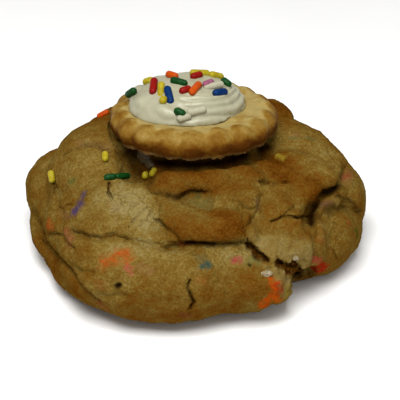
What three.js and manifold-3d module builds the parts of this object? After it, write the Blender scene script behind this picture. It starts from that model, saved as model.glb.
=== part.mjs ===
// A sprinkle cookie: a thick, lumpy round of soft confetti dough, split at its front right, with a
// small fluted biscuit pressed into its top and a piped swirl of white icing on the biscuit.
// Whole sprinkles lie on the icing and here and there on the dough.
//
// Millimetres, +Z up. The front, where the dough is split, faces -Y, and +X is to its right.
// The origin is on the surface that the cookie stands on, under the middle of its outline.

import * as THREE from 'three';
import { mergeVertices } from 'three/addons/utils/BufferGeometryUtils.js';
import Module from 'manifold-3d';

const manifold = await Module();
manifold.setup();

// ---- Driving sizes -------------------------------------------------------------------------

const GAP = 0.3;                                    // between two pieces that touch

const OUTLINE_MIDDLE = new THREE.Vector2(0.05, 2.66); // of the lobes below, brought to X = Y = 0

const DOUGH_HEART = new THREE.Vector3(0, 3, 12);    // the dough's surface is measured out from here
const DOUGH_REACH = 75;                             // no dough lies further out than this
const DOUGH_AROUND = 108;
const DOUGH_ROWS = 40;
const DOUGH_SOFTENING = 0.4;                        // of the way to the neighbours' middle

const BISCUIT_RADIUS = 24.8;
const BISCUIT_THICKNESS = 8;
const BISCUIT_FLUTES = 19;
const BISCUIT_STEPS_PER_FLUTE = 6;
const FLUTE_DEPTH = 1.1;
const RIM_RISE = 1.3;                               // of the puffed rim above the flat middle
const BISCUIT_AT = new THREE.Vector3(-0.7, 13, 40); // the middle of its thickness
const BISCUIT_TILT = -5;                            // degrees, the front edge is up

const ICING_RADIUS = 16.3;
const ICING_HEIGHT = 7.9;
const ICING_AT = new THREE.Vector2(-2.0, 1.6);      // from the biscuit's middle
const ICING_RIDGES = 5;
const ICING_RIDGE_HEIGHT = 0.9;
const ICING_AROUND = 60;
const ICING_ROWS = 13;

const SPRINKLE_RADIUS = 1.0;
const SPRINKLE_SIDES = 6;

// ---- The lobes of the dough ----------------------------------------------------------------
// The dough was rolled up by hand and spread as it baked. Each lobe is an ellipsoid: its middle,
// its half sizes, its turn about Z in degrees and the width over which it melts into the rest.

const LOBES = [
  { name: 'foot', at: [-3, 4, 2.5], half: [43, 34, 7.5], turn: 0, melt: 2 },
  { name: 'base', at: [-1.5, 8, 7.5], half: [48.5, 39, 9.5], turn: 0, melt: 2 },
  { name: 'base left', at: [-24.3, -12, 6], half: [17.8, 17.3, 7], turn: 0, melt: 2 },
  { name: 'heart', at: [0, 3, 14], half: [40, 37, 19], turn: 0, melt: 3 },
  { name: 'seat', at: [0, 13, 31], half: [22, 22, 9], turn: 0, melt: 3 },
  { name: 'front roll, left end', at: [-31, -5, 14], half: [13, 17, 12], turn: 15, melt: 2 },
  { name: 'front roll, left', at: [-22, -20.5, 12.9], half: [17, 16.5, 12.7], turn: -40, melt: 4 },
  { name: 'front roll', at: [-6.5, -27.9, 12.4], half: [25.5, 15.3, 12.9], turn: 6, melt: 4 },
  { name: 'front roll, right', at: [16.6, -25.4, 11.8], half: [12.8, 13.4, 10.7], turn: 0, melt: 5 },
  { name: 'left rim', at: [-38, 16.8, 14.4], half: [13.7, 17.8, 10.8], turn: 0, melt: 2 },
  { name: 'left shoulder', at: [-25, 10, 23], half: [18.6, 22, 15], turn: -8, melt: 2 },
  { name: 'left fold', at: [-21, -13, 19], half: [15, 15, 12.5], turn: -20, melt: 5 },
  { name: 'swoosh', at: [-7, -18, 22.5], half: [8, 14, 8.5], turn: 40, melt: 2 },
  { name: 'brown roll', at: [4, -25, 21], half: [15, 9.8, 9], turn: 0, melt: 1.2 },
  { name: 'ridge, left', at: [1, -5, 28], half: [16, 11, 8], turn: 0, melt: 1.2 },
  { name: 'trunk', at: [15, -10, 25.5], half: [6.5, 13, 8], turn: 0, melt: 2.5 },
  { name: 'ridge, right', at: [25, 1, 26], half: [20, 9, 9], turn: -25, melt: 3 },
  { name: 'right back', at: [26.1, 17.8, 20.3], half: [23.9, 15.8, 15.2], turn: -45, melt: 2 },
  { name: 'tongue', at: [25, -10, 23], half: [12, 8, 7], turn: 20, melt: 2.5 },
  { name: 'flap', at: [25, -18, 17], half: [12, 11, 12], turn: 0, melt: 2.5 },
  { name: 'right rim, upper', at: [43, 11.5, 13.3], half: [8.5, 11.5, 11.3], turn: 0, melt: 1.5 },
  { name: 'right rim, lower', at: [36.8, -5.4, 10.8], half: [9.6, 14.6, 10.8], turn: -22, melt: 1.5 },
  { name: 'right rim, foot', at: [42.4, 0.6, 9], half: [6.8, 7.6, 8], turn: 0, melt: 3 },
  { name: 'right knob', at: [41, 26.3, 14.6], half: [6, 7, 7.5], turn: 0, melt: 1.5 },
  { name: 'back knob', at: [22.5, 33, 28.3], half: [8, 8, 7], turn: 0, melt: 2 },
  { name: 'left knob', at: [-23.5, 27, 27], half: [9, 10, 8.5], turn: 0, melt: 3 },
  { name: 'back left', at: [-17, 27, 16], half: [22, 18, 12], turn: 0, melt: 3 },
  { name: 'back middle', at: [6, 32, 18], half: [22, 17, 14], turn: 0, melt: 3 },
];

// A bite-sized notch at the foot of the split, where a crumb has broken away.
const NOTCHES = [
  { name: 'notch', at: [31.9, -26, 3], half: [4.3, 11.5, 9.5], turn: 0, melt: 1 },
  { name: 'notch, high', at: [30.4, -29, 7.5], half: [3.1, 8, 5.2], turn: 0, melt: 1 },
  { name: 'notch, deep', at: [30.2, -17, 1], half: [2.6, 8, 5.5], turn: 0, melt: 1 },
];

// ---- The creases between the folds ---------------------------------------------------------
// Each runs along a few points on the dough and is a cusp: half as wide as `reach` on either side.

const CREASES = [
  { name: 'under the brown roll', reach: 4.5, depth: 2.8,
    path: [[-35, -24, 21], [-27, -28, 24.4], [-15, -30.5, 25], [-4, -33.5, 25], [14, -31, 24]] },
  { name: 'hollow left of the biscuit', reach: 6, depth: 4,
    path: [[-22, 5, 37], [-20, -2.3, 34.2], [-19, -6.5, 31.5], [-14, -10, 30.5]] },
  { name: 'foot of the ridge', reach: 4, depth: 2.2,
    path: [[-14, -10, 30.6], [-9, -15, 30.7], [-2, -15.6, 30.7], [4, -14, 31]] },
  { name: 'edge of the swoosh', reach: 3, depth: 1.2,
    path: [[-12.2, -14.6, 30.3], [-11, -20.6, 29.8], [-10.6, -25.3, 26.2], [-5.6, -31, 25.5]] },
  { name: 'edge of the trunk', reach: 3.2, depth: 2.4,
    path: [[14, -31, 24.3], [14.8, -26, 26.8], [17.3, -20, 28.5], [19.5, -13, 30.5]] },
  { name: 'top of the flap', reach: 2.4, depth: 1.6,
    path: [[20, -24.5, 26], [24, -23.2, 27.5], [28.8, -22.6, 27.2], [32, -21, 26.5]] },
  { name: 'side of the flap', reach: 4, depth: 3,
    path: [[36, -10.5, 27], [33, -17, 26.4], [31.6, -22.3, 25.5], [34, -24.5, 21], [33, -25.6, 14.4]] },
  { name: 'over the right rim', reach: 4, depth: 2.5,
    path: [[47, 10, 22], [43, 0, 25], [40, -8, 26], [36, -10.3, 28]] },
  { name: 'edge of the right ridge', reach: 4, depth: 1.5,
    path: [[19, 0.2, 34], [27, -4.8, 33.6], [34.6, -9.7, 29.8]] },
  { name: 'edge of the tongue', reach: 3, depth: 1.5,
    path: [[18.8, -9.5, 31.6], [22.5, -8.2, 30], [26, -8.3, 30.3]] },
  { name: 'fold of the shoulder', reach: 4.5, depth: 1.8,
    path: [[-38, 8, 32], [-40.6, -1.4, 25.5], [-38.4, -13, 22]] },
  { name: 'step down to the base', reach: 4, depth: 1.8,
    path: [[-49, 3, 12], [-44.5, -8, 12.5], [-40, -21, 13], [-34.4, -30, 12.5], [-29, -36.4, 9.6]] },
  { name: 'the split', reach: 3.5, depth: 4,
    path: [[14.5, -31, 24], [18.5, -31.8, 21.3], [24.5, -31, 18], [30, -28, 13.3]] },
  { name: 'edge of the notch', reach: 4, depth: 3,
    path: [[30, -28, 13.3], [30.5, -31, 6]] },
];

// ---- Sprinkles -----------------------------------------------------------------------------
// On the dough, each is given by the direction of its middle from the dough's heart, turn about Z
// from +X and rise from level, with its heading on the surface and its length, all in degrees and mm.

const DOUGH_SPRINKLES = [
  { name: 'yellow, left shoulder', turn: 179, rise: 20, heading: 70, length: 3.6 },
  { name: 'yellow, beside the biscuit', turn: 191, rise: 41, heading: 60, length: 3.4 },
  { name: 'green, first half', turn: 207, rise: 36.5, heading: -10, length: 3.4 },
  { name: 'green, second half', turn: 205, rise: 38.5, heading: 15, length: 4.4 },
  { name: 'yellow, in the hollow', turn: 219, rise: 53.5, heading: 40, length: 2.8 },
  { name: 'orange, behind the biscuit', turn: 142.5, rise: 33, heading: 30, length: 3.6 },
  { name: 'blue, back', turn: 118, rise: 22, heading: 15, length: 4.6 },
  { name: 'red, back', turn: 92, rise: 38, heading: -40, length: 4.4 },
  { name: 'yellow, back right', turn: 66, rise: 17, heading: 65, length: 4.6 },
  { name: 'green, right', turn: 22, rise: 32, heading: 30, length: 4.4 },
];

// On the icing, each is given by its place from the icing's middle, its heading from +X, its climb
// from the icing's surface and its length.

const ICING_SPRINKLES = [
  { name: 'green, left edge', at: [-15.2, 4.2], heading: 25, climb: 0, length: 4.6 },
  { name: 'red, upright', at: [-9.3, 1.2], heading: 92, climb: 16, length: 5.6 },
  { name: 'yellow, upright', at: [-6.9, -0.2], heading: 94, climb: 12, length: 5.8 },
  { name: 'yellow, back left', at: [-10.2, 7.4], heading: 20, climb: 0, length: 5.2 },
  { name: 'yellow, end on', at: [-6.3, -7.6], heading: -70, climb: 10, length: 3.4 },
  { name: 'blue, left', at: [-4.4, -4.6], heading: -78, climb: 0, length: 6.2 },
  { name: 'orange, back', at: [-5.4, 7.6], heading: -25, climb: 0, length: 5 },
  { name: 'green, top', at: [-1.9, 2.2], heading: -30, climb: 0, length: 5.4 },
  { name: 'dark red', at: [-0.4, -4.4], heading: 35, climb: 0, length: 4 },
  { name: 'orange, upright', at: [2.8, -3], heading: 66, climb: 12, length: 6 },
  { name: 'red, back', at: [2.2, 7.4], heading: 18, climb: 0, length: 5 },
  { name: 'pink', at: [6.4, 1.2], heading: 42, climb: 0, length: 4.6 },
  { name: 'green, right', at: [11, 4.8], heading: -42, climb: 0, length: 4.6 },
  { name: 'blue, right', at: [9.2, -3.4], heading: 10, climb: 0, length: 5.2 },
  { name: 'green, front', at: [-1.4, -12.4], heading: -60, climb: 8, length: 4 },
  { name: 'white, front left', at: [-0.6, -14.3], heading: 12, climb: 0, length: 4.2 },
  { name: 'white, front right', at: [9.4, -12.4], heading: 30, climb: 0, length: 7.2 },
  { name: 'white, right', at: [8.3, -0.6], heading: 25, climb: 0, length: 5.6 },
  { name: 'white, front', at: [3.2, -11.8], heading: 18, climb: 0, length: 5.4 },
  { name: 'yellow, back', at: [3.4, 10.4], heading: 0, climb: 0, length: 5.4 },
  { name: 'yellow, back right', at: [9.2, 8.6], heading: -22, climb: 0, length: 4.6 },
];

// ---- Helpers -------------------------------------------------------------------------------

function placed(lobe) {
  const turn = THREE.MathUtils.degToRad(lobe.turn);
  return { ...lobe, cos: Math.cos(turn), sin: Math.sin(turn) };
}

// The distance from a point to an ellipsoid's surface, negative inside it.
function ellipsoidDistance(x, y, z, lobe) {
  const dx = x - lobe.at[0];
  const dy = y - lobe.at[1];
  const dz = z - lobe.at[2];
  const u = (dx * lobe.cos + dy * lobe.sin) / lobe.half[0];
  const v = (dy * lobe.cos - dx * lobe.sin) / lobe.half[1];
  const w = dz / lobe.half[2];
  const size = Math.hypot(u, v, w);
  const slope = Math.hypot(u / lobe.half[0], v / lobe.half[1], w / lobe.half[2]);
  return size * (size - 1) / Math.max(slope, 1e-6);
}

// The smaller of two distances, rounded off where they meet.
function smoothMin(a, b, melt) {
  const share = THREE.MathUtils.clamp(0.5 + 0.5 * (b - a) / melt, 0, 1);
  return b + (a - b) * share - melt * share * (1 - share);
}

function distanceToSegment(x, y, z, a, b) {
  const along = [b[0] - a[0], b[1] - a[1], b[2] - a[2]];
  const from = [x - a[0], y - a[1], z - a[2]];
  const dot = from[0] * along[0] + from[1] * along[1] + from[2] * along[2];
  const square = along[0] ** 2 + along[1] ** 2 + along[2] ** 2;
  const t = THREE.MathUtils.clamp(dot / square, 0, 1);
  return Math.hypot(from[0] - along[0] * t, from[1] - along[1] * t, from[2] - along[2] * t);
}

// A closed mesh as a solid that can be joined and cut.
function toSolid(geometry) {
  const bare = geometry.clone();
  bare.deleteAttribute('normal');
  bare.deleteAttribute('uv');
  const merged = mergeVertices(bare, 1e-4);
  return new manifold.Manifold(new manifold.Mesh({
    numProp: 3,
    vertProperties: new Float32Array(merged.attributes.position.array),
    triVerts: new Uint32Array(merged.index.array),
  }));
}

function toGeometry(solid) {
  const mesh = solid.getMesh();
  const geometry = new THREE.BufferGeometry();
  geometry.setAttribute('position', new THREE.BufferAttribute(mesh.vertProperties, 3));
  geometry.setIndex(new THREE.BufferAttribute(mesh.triVerts, 1));
  geometry.computeVertexNormals();
  return geometry;
}

// A sphere's grid of vertices with its poles on Z, each vertex moved to place(turn, row, column).
function mouldedGrid(around, rows, place) {
  const ball = new THREE.SphereGeometry(1, around, rows);
  ball.rotateX(Math.PI / 2);
  const position = ball.attributes.position;
  for (let row = 0; row <= rows; row += 1) {
    for (let column = 0; column <= around; column += 1) {
      const vertex = place(2 * Math.PI * (column % around) / around, row, column % around);
      position.setXYZ(row * (around + 1) + column, vertex.x, vertex.y, vertex.z);
    }
  }
  return ball;
}

// A rod with rounded ends, lying along +X.
function sprinkleRod(length) {
  const rod = new THREE.CapsuleGeometry(SPRINKLE_RADIUS, length - 2 * SPRINKLE_RADIUS, 1, SPRINKLE_SIDES);
  rod.rotateZ(-Math.PI / 2);
  return rod;
}

// The rod at a point, its length along `along` and its side to `normal`, sunk a little into the food.
function layRod(length, point, along, normal, sunk) {
  const side = new THREE.Vector3().crossVectors(normal, along).normalize();
  const up = new THREE.Vector3().crossVectors(along, side).normalize();
  const centre = point.clone().addScaledVector(normal, SPRINKLE_RADIUS * (1 - 2 * sunk));
  const place = new THREE.Matrix4().makeBasis(along, side, up).setPosition(centre);
  return toSolid(sprinkleRod(length).applyMatrix4(place));
}

// ---- The dough -----------------------------------------------------------------------------

const PLACED_LOBES = LOBES.map(placed);
const PLACED_NOTCHES = NOTCHES.map(placed);

function creaseDepth(x, y, z) {
  let deepest = 0;
  for (const crease of CREASES) {
    for (let i = 1; i < crease.path.length; i += 1) {
      const away = distanceToSegment(x, y, z, crease.path[i - 1], crease.path[i]);
      const near = Math.max(0, 1 - away / crease.reach);
      deepest = Math.max(deepest, crease.depth * near ** 2);
    }
  }
  return deepest;
}

// The distance to the dough's surface, negative inside the dough.
function doughDistance(x, y, z) {
  let distance = Infinity;
  for (const lobe of PLACED_LOBES) {
    const next = ellipsoidDistance(x, y, z, lobe);
    distance = distance === Infinity ? next : smoothMin(distance, next, lobe.melt);
  }
  for (const notch of PLACED_NOTCHES) {
    distance = -smoothMin(-distance, ellipsoidDistance(x, y, z, notch), notch.melt);
  }
  return distance + creaseDepth(x, y, z);
}

// The outermost point of the dough from `from` towards `direction`.
function doughSurface(from, direction) {
  const at = (reach) => doughDistance(
    from.x + direction.x * reach,
    from.y + direction.y * reach,
    from.z + direction.z * reach,
  );
  const step = 0.4;
  let outside = DOUGH_REACH;
  while (outside > step && at(outside - step) > 0) {
    outside -= step;
  }
  let inside = outside - step;
  for (let i = 0; i < 20; i += 1) {
    const middle = (inside + outside) / 2;
    if (at(middle) > 0) {
      outside = middle;
    } else {
      inside = middle;
    }
  }
  return from.clone().addScaledVector(direction, outside);
}

function doughNormal(point) {
  const h = 0.4;
  const { x, y, z } = point;
  return new THREE.Vector3(
    doughDistance(x + h, y, z) - doughDistance(x - h, y, z),
    doughDistance(x, y + h, z) - doughDistance(x, y - h, z),
    doughDistance(x, y, z + h) - doughDistance(x, y, z - h),
  ).normalize();
}

function direction(turn, rise) {
  return new THREE.Vector3(Math.cos(rise) * Math.cos(turn), Math.cos(rise) * Math.sin(turn), Math.sin(rise));
}

// One spoke of the dough: its points from the top down to the edge of the flat foot.
function doughSpoke(turn) {
  const footMiddle = new THREE.Vector3(DOUGH_HEART.x, DOUGH_HEART.y, 0);
  const footEdge = doughSurface(footMiddle, direction(turn, 0));
  const lowest = -Math.atan2(DOUGH_HEART.z, footEdge.distanceTo(footMiddle));
  const points = [];
  for (let row = 0; row < DOUGH_ROWS - 1; row += 1) {
    const rise = THREE.MathUtils.lerp(Math.PI / 2, lowest, row / (DOUGH_ROWS - 1));
    points.push(doughSurface(DOUGH_HEART, direction(turn, rise)));
  }
  points.push(footEdge);
  return points;
}

// Spokes run all round, and the last point of the grid closes the foot. Each point over the foot
// is drawn a little towards its four neighbours, which takes the spikes off the deepest creases.
function doughBody() {
  const spokes = [];
  for (let column = 0; column < DOUGH_AROUND; column += 1) {
    spokes.push(doughSpoke(2 * Math.PI * column / DOUGH_AROUND));
  }
  const softened = (column, row) => {
    const point = spokes[column][row];
    if (row === 0 || row >= DOUGH_ROWS - 2) {
      return point;
    }
    const before = spokes[(column + DOUGH_AROUND - 1) % DOUGH_AROUND][row];
    const after = spokes[(column + 1) % DOUGH_AROUND][row];
    const around = before.clone().add(after).add(spokes[column][row - 1]).add(spokes[column][row + 1]);
    return point.clone().lerp(around.divideScalar(4), DOUGH_SOFTENING);
  };
  return toSolid(mouldedGrid(DOUGH_AROUND, DOUGH_ROWS, (turn, row, column) => (
    row === DOUGH_ROWS ? new THREE.Vector3(DOUGH_HEART.x, DOUGH_HEART.y, 0) : softened(column, row)
  )));
}

function doughSprinkle({ turn, rise, heading, length }) {
  const point = doughSurface(
    DOUGH_HEART,
    direction(THREE.MathUtils.degToRad(turn), THREE.MathUtils.degToRad(rise)),
  );
  const normal = doughNormal(point);
  const level = direction(THREE.MathUtils.degToRad(heading), 0);
  const along = level.addScaledVector(normal, -level.dot(normal)).normalize();
  return layRod(length, point, along, normal, 0.3);
}

function dough() {
  let body = doughBody();
  for (const sprinkle of DOUGH_SPRINKLES) {
    body = body.add(doughSprinkle(sprinkle));
  }
  const seat = biscuitGeometry(GAP).applyMatrix4(biscuitPlace());
  return toGeometry(body.subtract(toSolid(seat)));
}

// ---- The fluted biscuit --------------------------------------------------------------------

// Distance out from the middle and height over it, from the middle of the top round to the underside.
const BISCUIT_TOP = BISCUIT_THICKNESS / 2 - 1;
const BISCUIT_PROFILE = [
  [0, BISCUIT_TOP],
  [10, BISCUIT_TOP],
  [15.8, BISCUIT_TOP],
  [17.6, BISCUIT_TOP + 0.4 * RIM_RISE],
  [19.2, BISCUIT_TOP + 0.85 * RIM_RISE],
  [20.9, BISCUIT_TOP + RIM_RISE],
  [22.7, BISCUIT_TOP + 0.75 * RIM_RISE],
  [24.1, BISCUIT_TOP - 0.3],
  [BISCUIT_RADIUS, 0.6],
  [24.5, -1.6],
  [23.6, -3.4],
  [22.6, -BISCUIT_THICKNESS / 2],
  [0, -BISCUIT_THICKNESS / 2],
];

// 0 in the middle of a flute and 1 in the groove between two. A flute's middle faces the front.
function fluteGroove(turn) {
  return 1 - Math.abs(Math.cos((turn + Math.PI / 2) * BISCUIT_FLUTES / 2));
}

// The biscuit about its own middle, every face moved out by `grow`.
function biscuitGeometry(grow) {
  const around = BISCUIT_FLUTES * BISCUIT_STEPS_PER_FLUTE;
  const rows = BISCUIT_PROFILE.length - 1;
  const firstFluted = 3;
  return mouldedGrid(around, rows, (turn, row) => {
    const [out, height] = BISCUIT_PROFILE[row];
    const fluted = row >= firstFluted && row < rows;
    const radius = out - (fluted ? FLUTE_DEPTH * fluteGroove(turn) : 0) + (out > 0 ? grow : 0);
    const z = height + Math.sign(height) * grow;
    return new THREE.Vector3(radius * Math.cos(turn), radius * Math.sin(turn), z);
  });
}

function biscuitPlace() {
  const tilt = new THREE.Matrix4().makeRotationX(THREE.MathUtils.degToRad(BISCUIT_TILT));
  return tilt.setPosition(BISCUIT_AT);
}

// ---- The icing -----------------------------------------------------------------------------

function biscuitTopHeight(x, y) {
  return BISCUIT_TOP + RIM_RISE * THREE.MathUtils.smoothstep(Math.hypot(x, y), 15, 19.5);
}

function icingRadius(turn) {
  return ICING_RADIUS * (1 + 0.035 * Math.sin(2 * turn + 0.6) + 0.03 * Math.sin(3 * turn + 2));
}

// The icing's top over the biscuit's middle, `share` of the way from its middle to its edge.
function icingTop(turn, share) {
  const radius = share * icingRadius(turn);
  const x = ICING_AT.x + radius * Math.cos(turn);
  const y = ICING_AT.y + radius * Math.sin(turn);
  const dome = ICING_HEIGHT * (1 - share ** 2.8) ** 0.6;
  const swirl = ICING_RIDGES * (turn / (2 * Math.PI) - share / 1.5);
  const fade = THREE.MathUtils.smoothstep(share, 0.15, 0.5) * (1 - THREE.MathUtils.smoothstep(share, 0.85, 1));
  const ridge = ICING_RIDGE_HEIGHT * fade * (Math.abs(Math.sin(Math.PI * swirl)) - 0.6);
  return new THREE.Vector3(x, y, biscuitTopHeight(x, y) + GAP + dome + ridge);
}

function icingBody() {
  return toSolid(mouldedGrid(ICING_AROUND, ICING_ROWS, (turn, row) => {
    if (row === ICING_ROWS) {
      return new THREE.Vector3(ICING_AT.x, ICING_AT.y, BISCUIT_TOP + GAP);
    }
    const share = Math.sin(Math.PI / 2 * row / (ICING_ROWS - 1));
    return icingTop(turn, share);
  }));
}

function icingSprinkle({ at, heading, climb, length }) {
  const turn = Math.atan2(at[1], at[0]);
  const share = Math.min(0.93, Math.hypot(at[0], at[1]) / icingRadius(turn));
  const point = icingTop(turn, share);
  const slopeStep = 0.05;
  const outward = icingTop(turn, share + slopeStep).sub(icingTop(turn, share - slopeStep));
  const round = icingTop(turn + slopeStep, share).sub(icingTop(turn - slopeStep, share));
  const normal = outward.cross(round).normalize();
  const level = direction(THREE.MathUtils.degToRad(heading), 0);
  const along = level.addScaledVector(normal, -level.dot(normal)).normalize();
  const side = new THREE.Vector3().crossVectors(normal, along);
  along.applyAxisAngle(side, -THREE.MathUtils.degToRad(climb));
  point.z = Math.max(point.z, biscuitTopHeight(point.x, point.y) + 2 * GAP + SPRINKLE_RADIUS);
  return layRod(length, point, along, normal, 0.3);
}

function icing() {
  let body = icingBody();
  for (const sprinkle of ICING_SPRINKLES) {
    body = body.add(icingSprinkle(sprinkle));
  }
  return toGeometry(body);
}

// ---- The cookie ----------------------------------------------------------------------------

function piece(name, geometry, color, roughness) {
  const material = new THREE.MeshStandardMaterial({ color, roughness, metalness: 0 });
  const mesh = new THREE.Mesh(geometry, material);
  mesh.name = name;
  return mesh;
}

const biscuitPiece = piece('biscuit', biscuitGeometry(0), 0xc99a56, 0.75);
const icingPiece = piece('icing', icing(), 0xf1eee4, 0.5);

const biscuitWithIcing = new THREE.Group();
biscuitWithIcing.position.copy(BISCUIT_AT);
biscuitWithIcing.rotation.x = THREE.MathUtils.degToRad(BISCUIT_TILT);
biscuitWithIcing.add(biscuitPiece, icingPiece);

const cookie = new THREE.Group();
cookie.name = 'sprinkle_cookie';
cookie.add(piece('dough', dough(), 0xb98a4c, 0.85), biscuitWithIcing);
cookie.position.set(-OUTLINE_MIDDLE.x, -OUTLINE_MIDDLE.y, 0);

export default cookie;
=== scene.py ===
# %% [markdown]
# # A sprinkle cookie, topped with a little biscuit and a swirl of icing
#
# The real thing has three pieces. A thick ball of confetti dough was folded over itself by hand and
# baked until it spread into fat rolls, with the colours of its sprinkles melted into it. A small
# fluted biscuit was pressed into its top while it was warm, and a swirl of soft white icing was
# piped on the biscuit and strewn with sugar sprinkles.
#
# Everything here is in metres and stands where the measured model stands: +Z is up and the front,
# where the dough is split, faces -Y. Sizes are written in millimetres and turned into metres by MM.

# %% The frame, and the box that the cookie has to stay in
import math
import random
import bpy
import numpy as np
from mathutils import Matrix, Vector, noise
from mathutils.bvhtree import BVHTree


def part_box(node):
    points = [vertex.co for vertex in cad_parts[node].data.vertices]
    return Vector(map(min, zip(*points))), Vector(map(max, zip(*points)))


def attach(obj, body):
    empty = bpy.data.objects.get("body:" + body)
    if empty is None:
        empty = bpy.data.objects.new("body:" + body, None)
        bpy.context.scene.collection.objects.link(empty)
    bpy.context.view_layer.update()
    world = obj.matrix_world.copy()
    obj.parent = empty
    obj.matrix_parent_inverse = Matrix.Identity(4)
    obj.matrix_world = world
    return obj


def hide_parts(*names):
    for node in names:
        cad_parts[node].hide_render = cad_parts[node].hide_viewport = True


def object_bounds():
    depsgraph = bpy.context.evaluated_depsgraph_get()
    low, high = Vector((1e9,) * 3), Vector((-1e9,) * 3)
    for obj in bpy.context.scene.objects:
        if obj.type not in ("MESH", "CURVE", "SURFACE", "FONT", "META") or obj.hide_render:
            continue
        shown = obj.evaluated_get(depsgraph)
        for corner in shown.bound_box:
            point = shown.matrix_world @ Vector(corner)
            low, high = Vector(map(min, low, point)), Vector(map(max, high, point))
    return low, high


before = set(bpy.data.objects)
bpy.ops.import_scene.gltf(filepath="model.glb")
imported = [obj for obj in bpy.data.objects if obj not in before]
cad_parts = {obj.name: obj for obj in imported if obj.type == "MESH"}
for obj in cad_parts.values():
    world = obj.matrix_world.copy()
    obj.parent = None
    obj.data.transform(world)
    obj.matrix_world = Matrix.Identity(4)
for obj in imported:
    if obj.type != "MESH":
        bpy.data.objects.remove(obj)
cad_low, cad_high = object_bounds()

MM = 0.001
HAIR = 0.01 * MM                             # room left inside the box
# The middle of the cookie's outline, in the millimetres that its lobes are given in.
OUTLINE_MIDDLE = Vector((0.05, 2.66, 0.0))
print("box in mm:", [round(v / MM, 1) for v in (*cad_low, *cad_high)])

# %% [markdown]
# ## The camera
#
# The camera comes first, because cracks, stains and sprinkles are placed by where they show in the
# photograph: a point of the picture is a line of sight, and the thing lies where that line meets
# the food. The cookie is seen from its front, from about 30 degrees above the table, with a long lens.

# %% The camera
PICTURE = 400                                # pixels across
PICTURE_MIDDLE = PICTURE / 2
PIXEL = 0.293 * MM                           # across one pixel at the cookie's middle
LOOK_DOWN = math.radians(30)
CAMERA_AWAY = 420 * MM
SENSOR = 36.0                                # the camera's own millimetres
COOKIE_MIDDLE = Vector((-0.05, -2.66, 17)) * MM
COOKIE_MIDDLE_PIXEL = (195.5, 208.0)

look = Vector((0, math.cos(LOOK_DOWN), -math.sin(LOOK_DOWN)))
camera_right = Vector((1, 0, 0))
camera_up = camera_right.cross(look)
sideways = (PICTURE_MIDDLE - COOKIE_MIDDLE_PIXEL[0]) * PIXEL
upwards = (COOKIE_MIDDLE_PIXEL[1] - PICTURE_MIDDLE) * PIXEL
camera_at = COOKIE_MIDDLE - look * CAMERA_AWAY + camera_right * sideways + camera_up * upwards

bpy.ops.object.camera_add(location=camera_at, rotation=(math.pi / 2 - LOOK_DOWN, 0, 0))
camera = bpy.context.object
camera.data.sensor_width = SENSOR
camera.data.lens = CAMERA_AWAY / PIXEL / PICTURE * SENSOR
camera.data.clip_start = 0.01
bpy.context.scene.camera = camera
bpy.context.scene.view_settings.view_transform = "Standard"
print("lens", round(camera.data.lens, 1), "mm")


def line_of_sight(u, v):
    """The direction from the camera through a pixel of the picture."""
    across = (u - PICTURE_MIDDLE) * PIXEL / CAMERA_AWAY
    down = (v - PICTURE_MIDDLE) * PIXEL / CAMERA_AWAY
    return (look + camera_right * across - camera_up * down).normalized()


# %% [markdown]
# ## Helpers
#
# A few short helpers do what is done again and again: deselect everything before an operator works,
# apply a modifier straight after adding it, and read and write all the points of a mesh at once.
# Others measure: how far points are from a path, where they show in the picture, and whether that is
# inside an outline drawn over it.

# %% Helpers for objects and their points
def deselect():
    """Nothing is selected or being edited."""
    if bpy.context.mode != "OBJECT":
        bpy.ops.object.mode_set(mode="OBJECT")
    bpy.ops.object.select_all(action="DESELECT")


def pick(*objects):
    """Only these objects are selected, and the first is the active one."""
    deselect()
    for thing in objects:
        thing.select_set(True)
    bpy.context.view_layer.objects.active = objects[0]


def apply_modifier(thing, kind, **settings):
    """Adds one modifier to the object and applies it."""
    pick(thing)
    modifier = thing.modifiers.new(kind.lower(), kind)
    for name, value in settings.items():
        setattr(modifier, name, value)
    bpy.ops.object.modifier_apply(modifier=modifier.name)


def join(objects, name):
    """The objects as one, with its origin at the frame's origin."""
    pick(*objects)
    bpy.ops.object.transform_apply(location=True, rotation=True, scale=True)
    if len(objects) > 1:
        bpy.ops.object.join()
    whole = bpy.context.object
    whole.name = name
    whole.data.name = name
    return whole


def points_of(thing):
    """Every point of the mesh, one row each."""
    points = np.empty(len(thing.data.vertices) * 3)
    thing.data.vertices.foreach_get("co", points)
    return points.reshape(-1, 3)


def normals_of(thing):
    """The outward direction at every point of the mesh."""
    normals = np.empty(len(thing.data.vertices) * 3)
    thing.data.vertices.foreach_get("normal", normals)
    return normals.reshape(-1, 3)


def move_points(thing, points):
    """Puts every point of the mesh in its new place."""
    thing.data.vertices.foreach_set("co", points.ravel())
    thing.data.update()


def smooth_faces(thing):
    """Shades the whole piece as one smooth skin."""
    for face in thing.data.polygons:
        face.use_smooth = True


def kept_inside(points, node):
    """The points, none of them past the box of the measured solid that the piece replaces."""
    low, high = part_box(node)
    return np.clip(points, np.array(low) + HAIR, np.array(high) - HAIR)


def surface_tree(thing):
    """A tree of the object's faces, for finding where a line meets them."""
    return BVHTree.FromObject(thing, bpy.context.evaluated_depsgraph_get())


def seen_point(tree, u, v):
    """Where the line of sight through a pixel meets a surface, or the nearest point if it misses."""
    point, normal, _, _ = tree.ray_cast(camera_at, line_of_sight(u, v))
    if point is None:
        beside = camera_at + line_of_sight(u, v) * CAMERA_AWAY
        point, normal, _, _ = tree.find_nearest(beside)
    return point, normal


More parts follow.
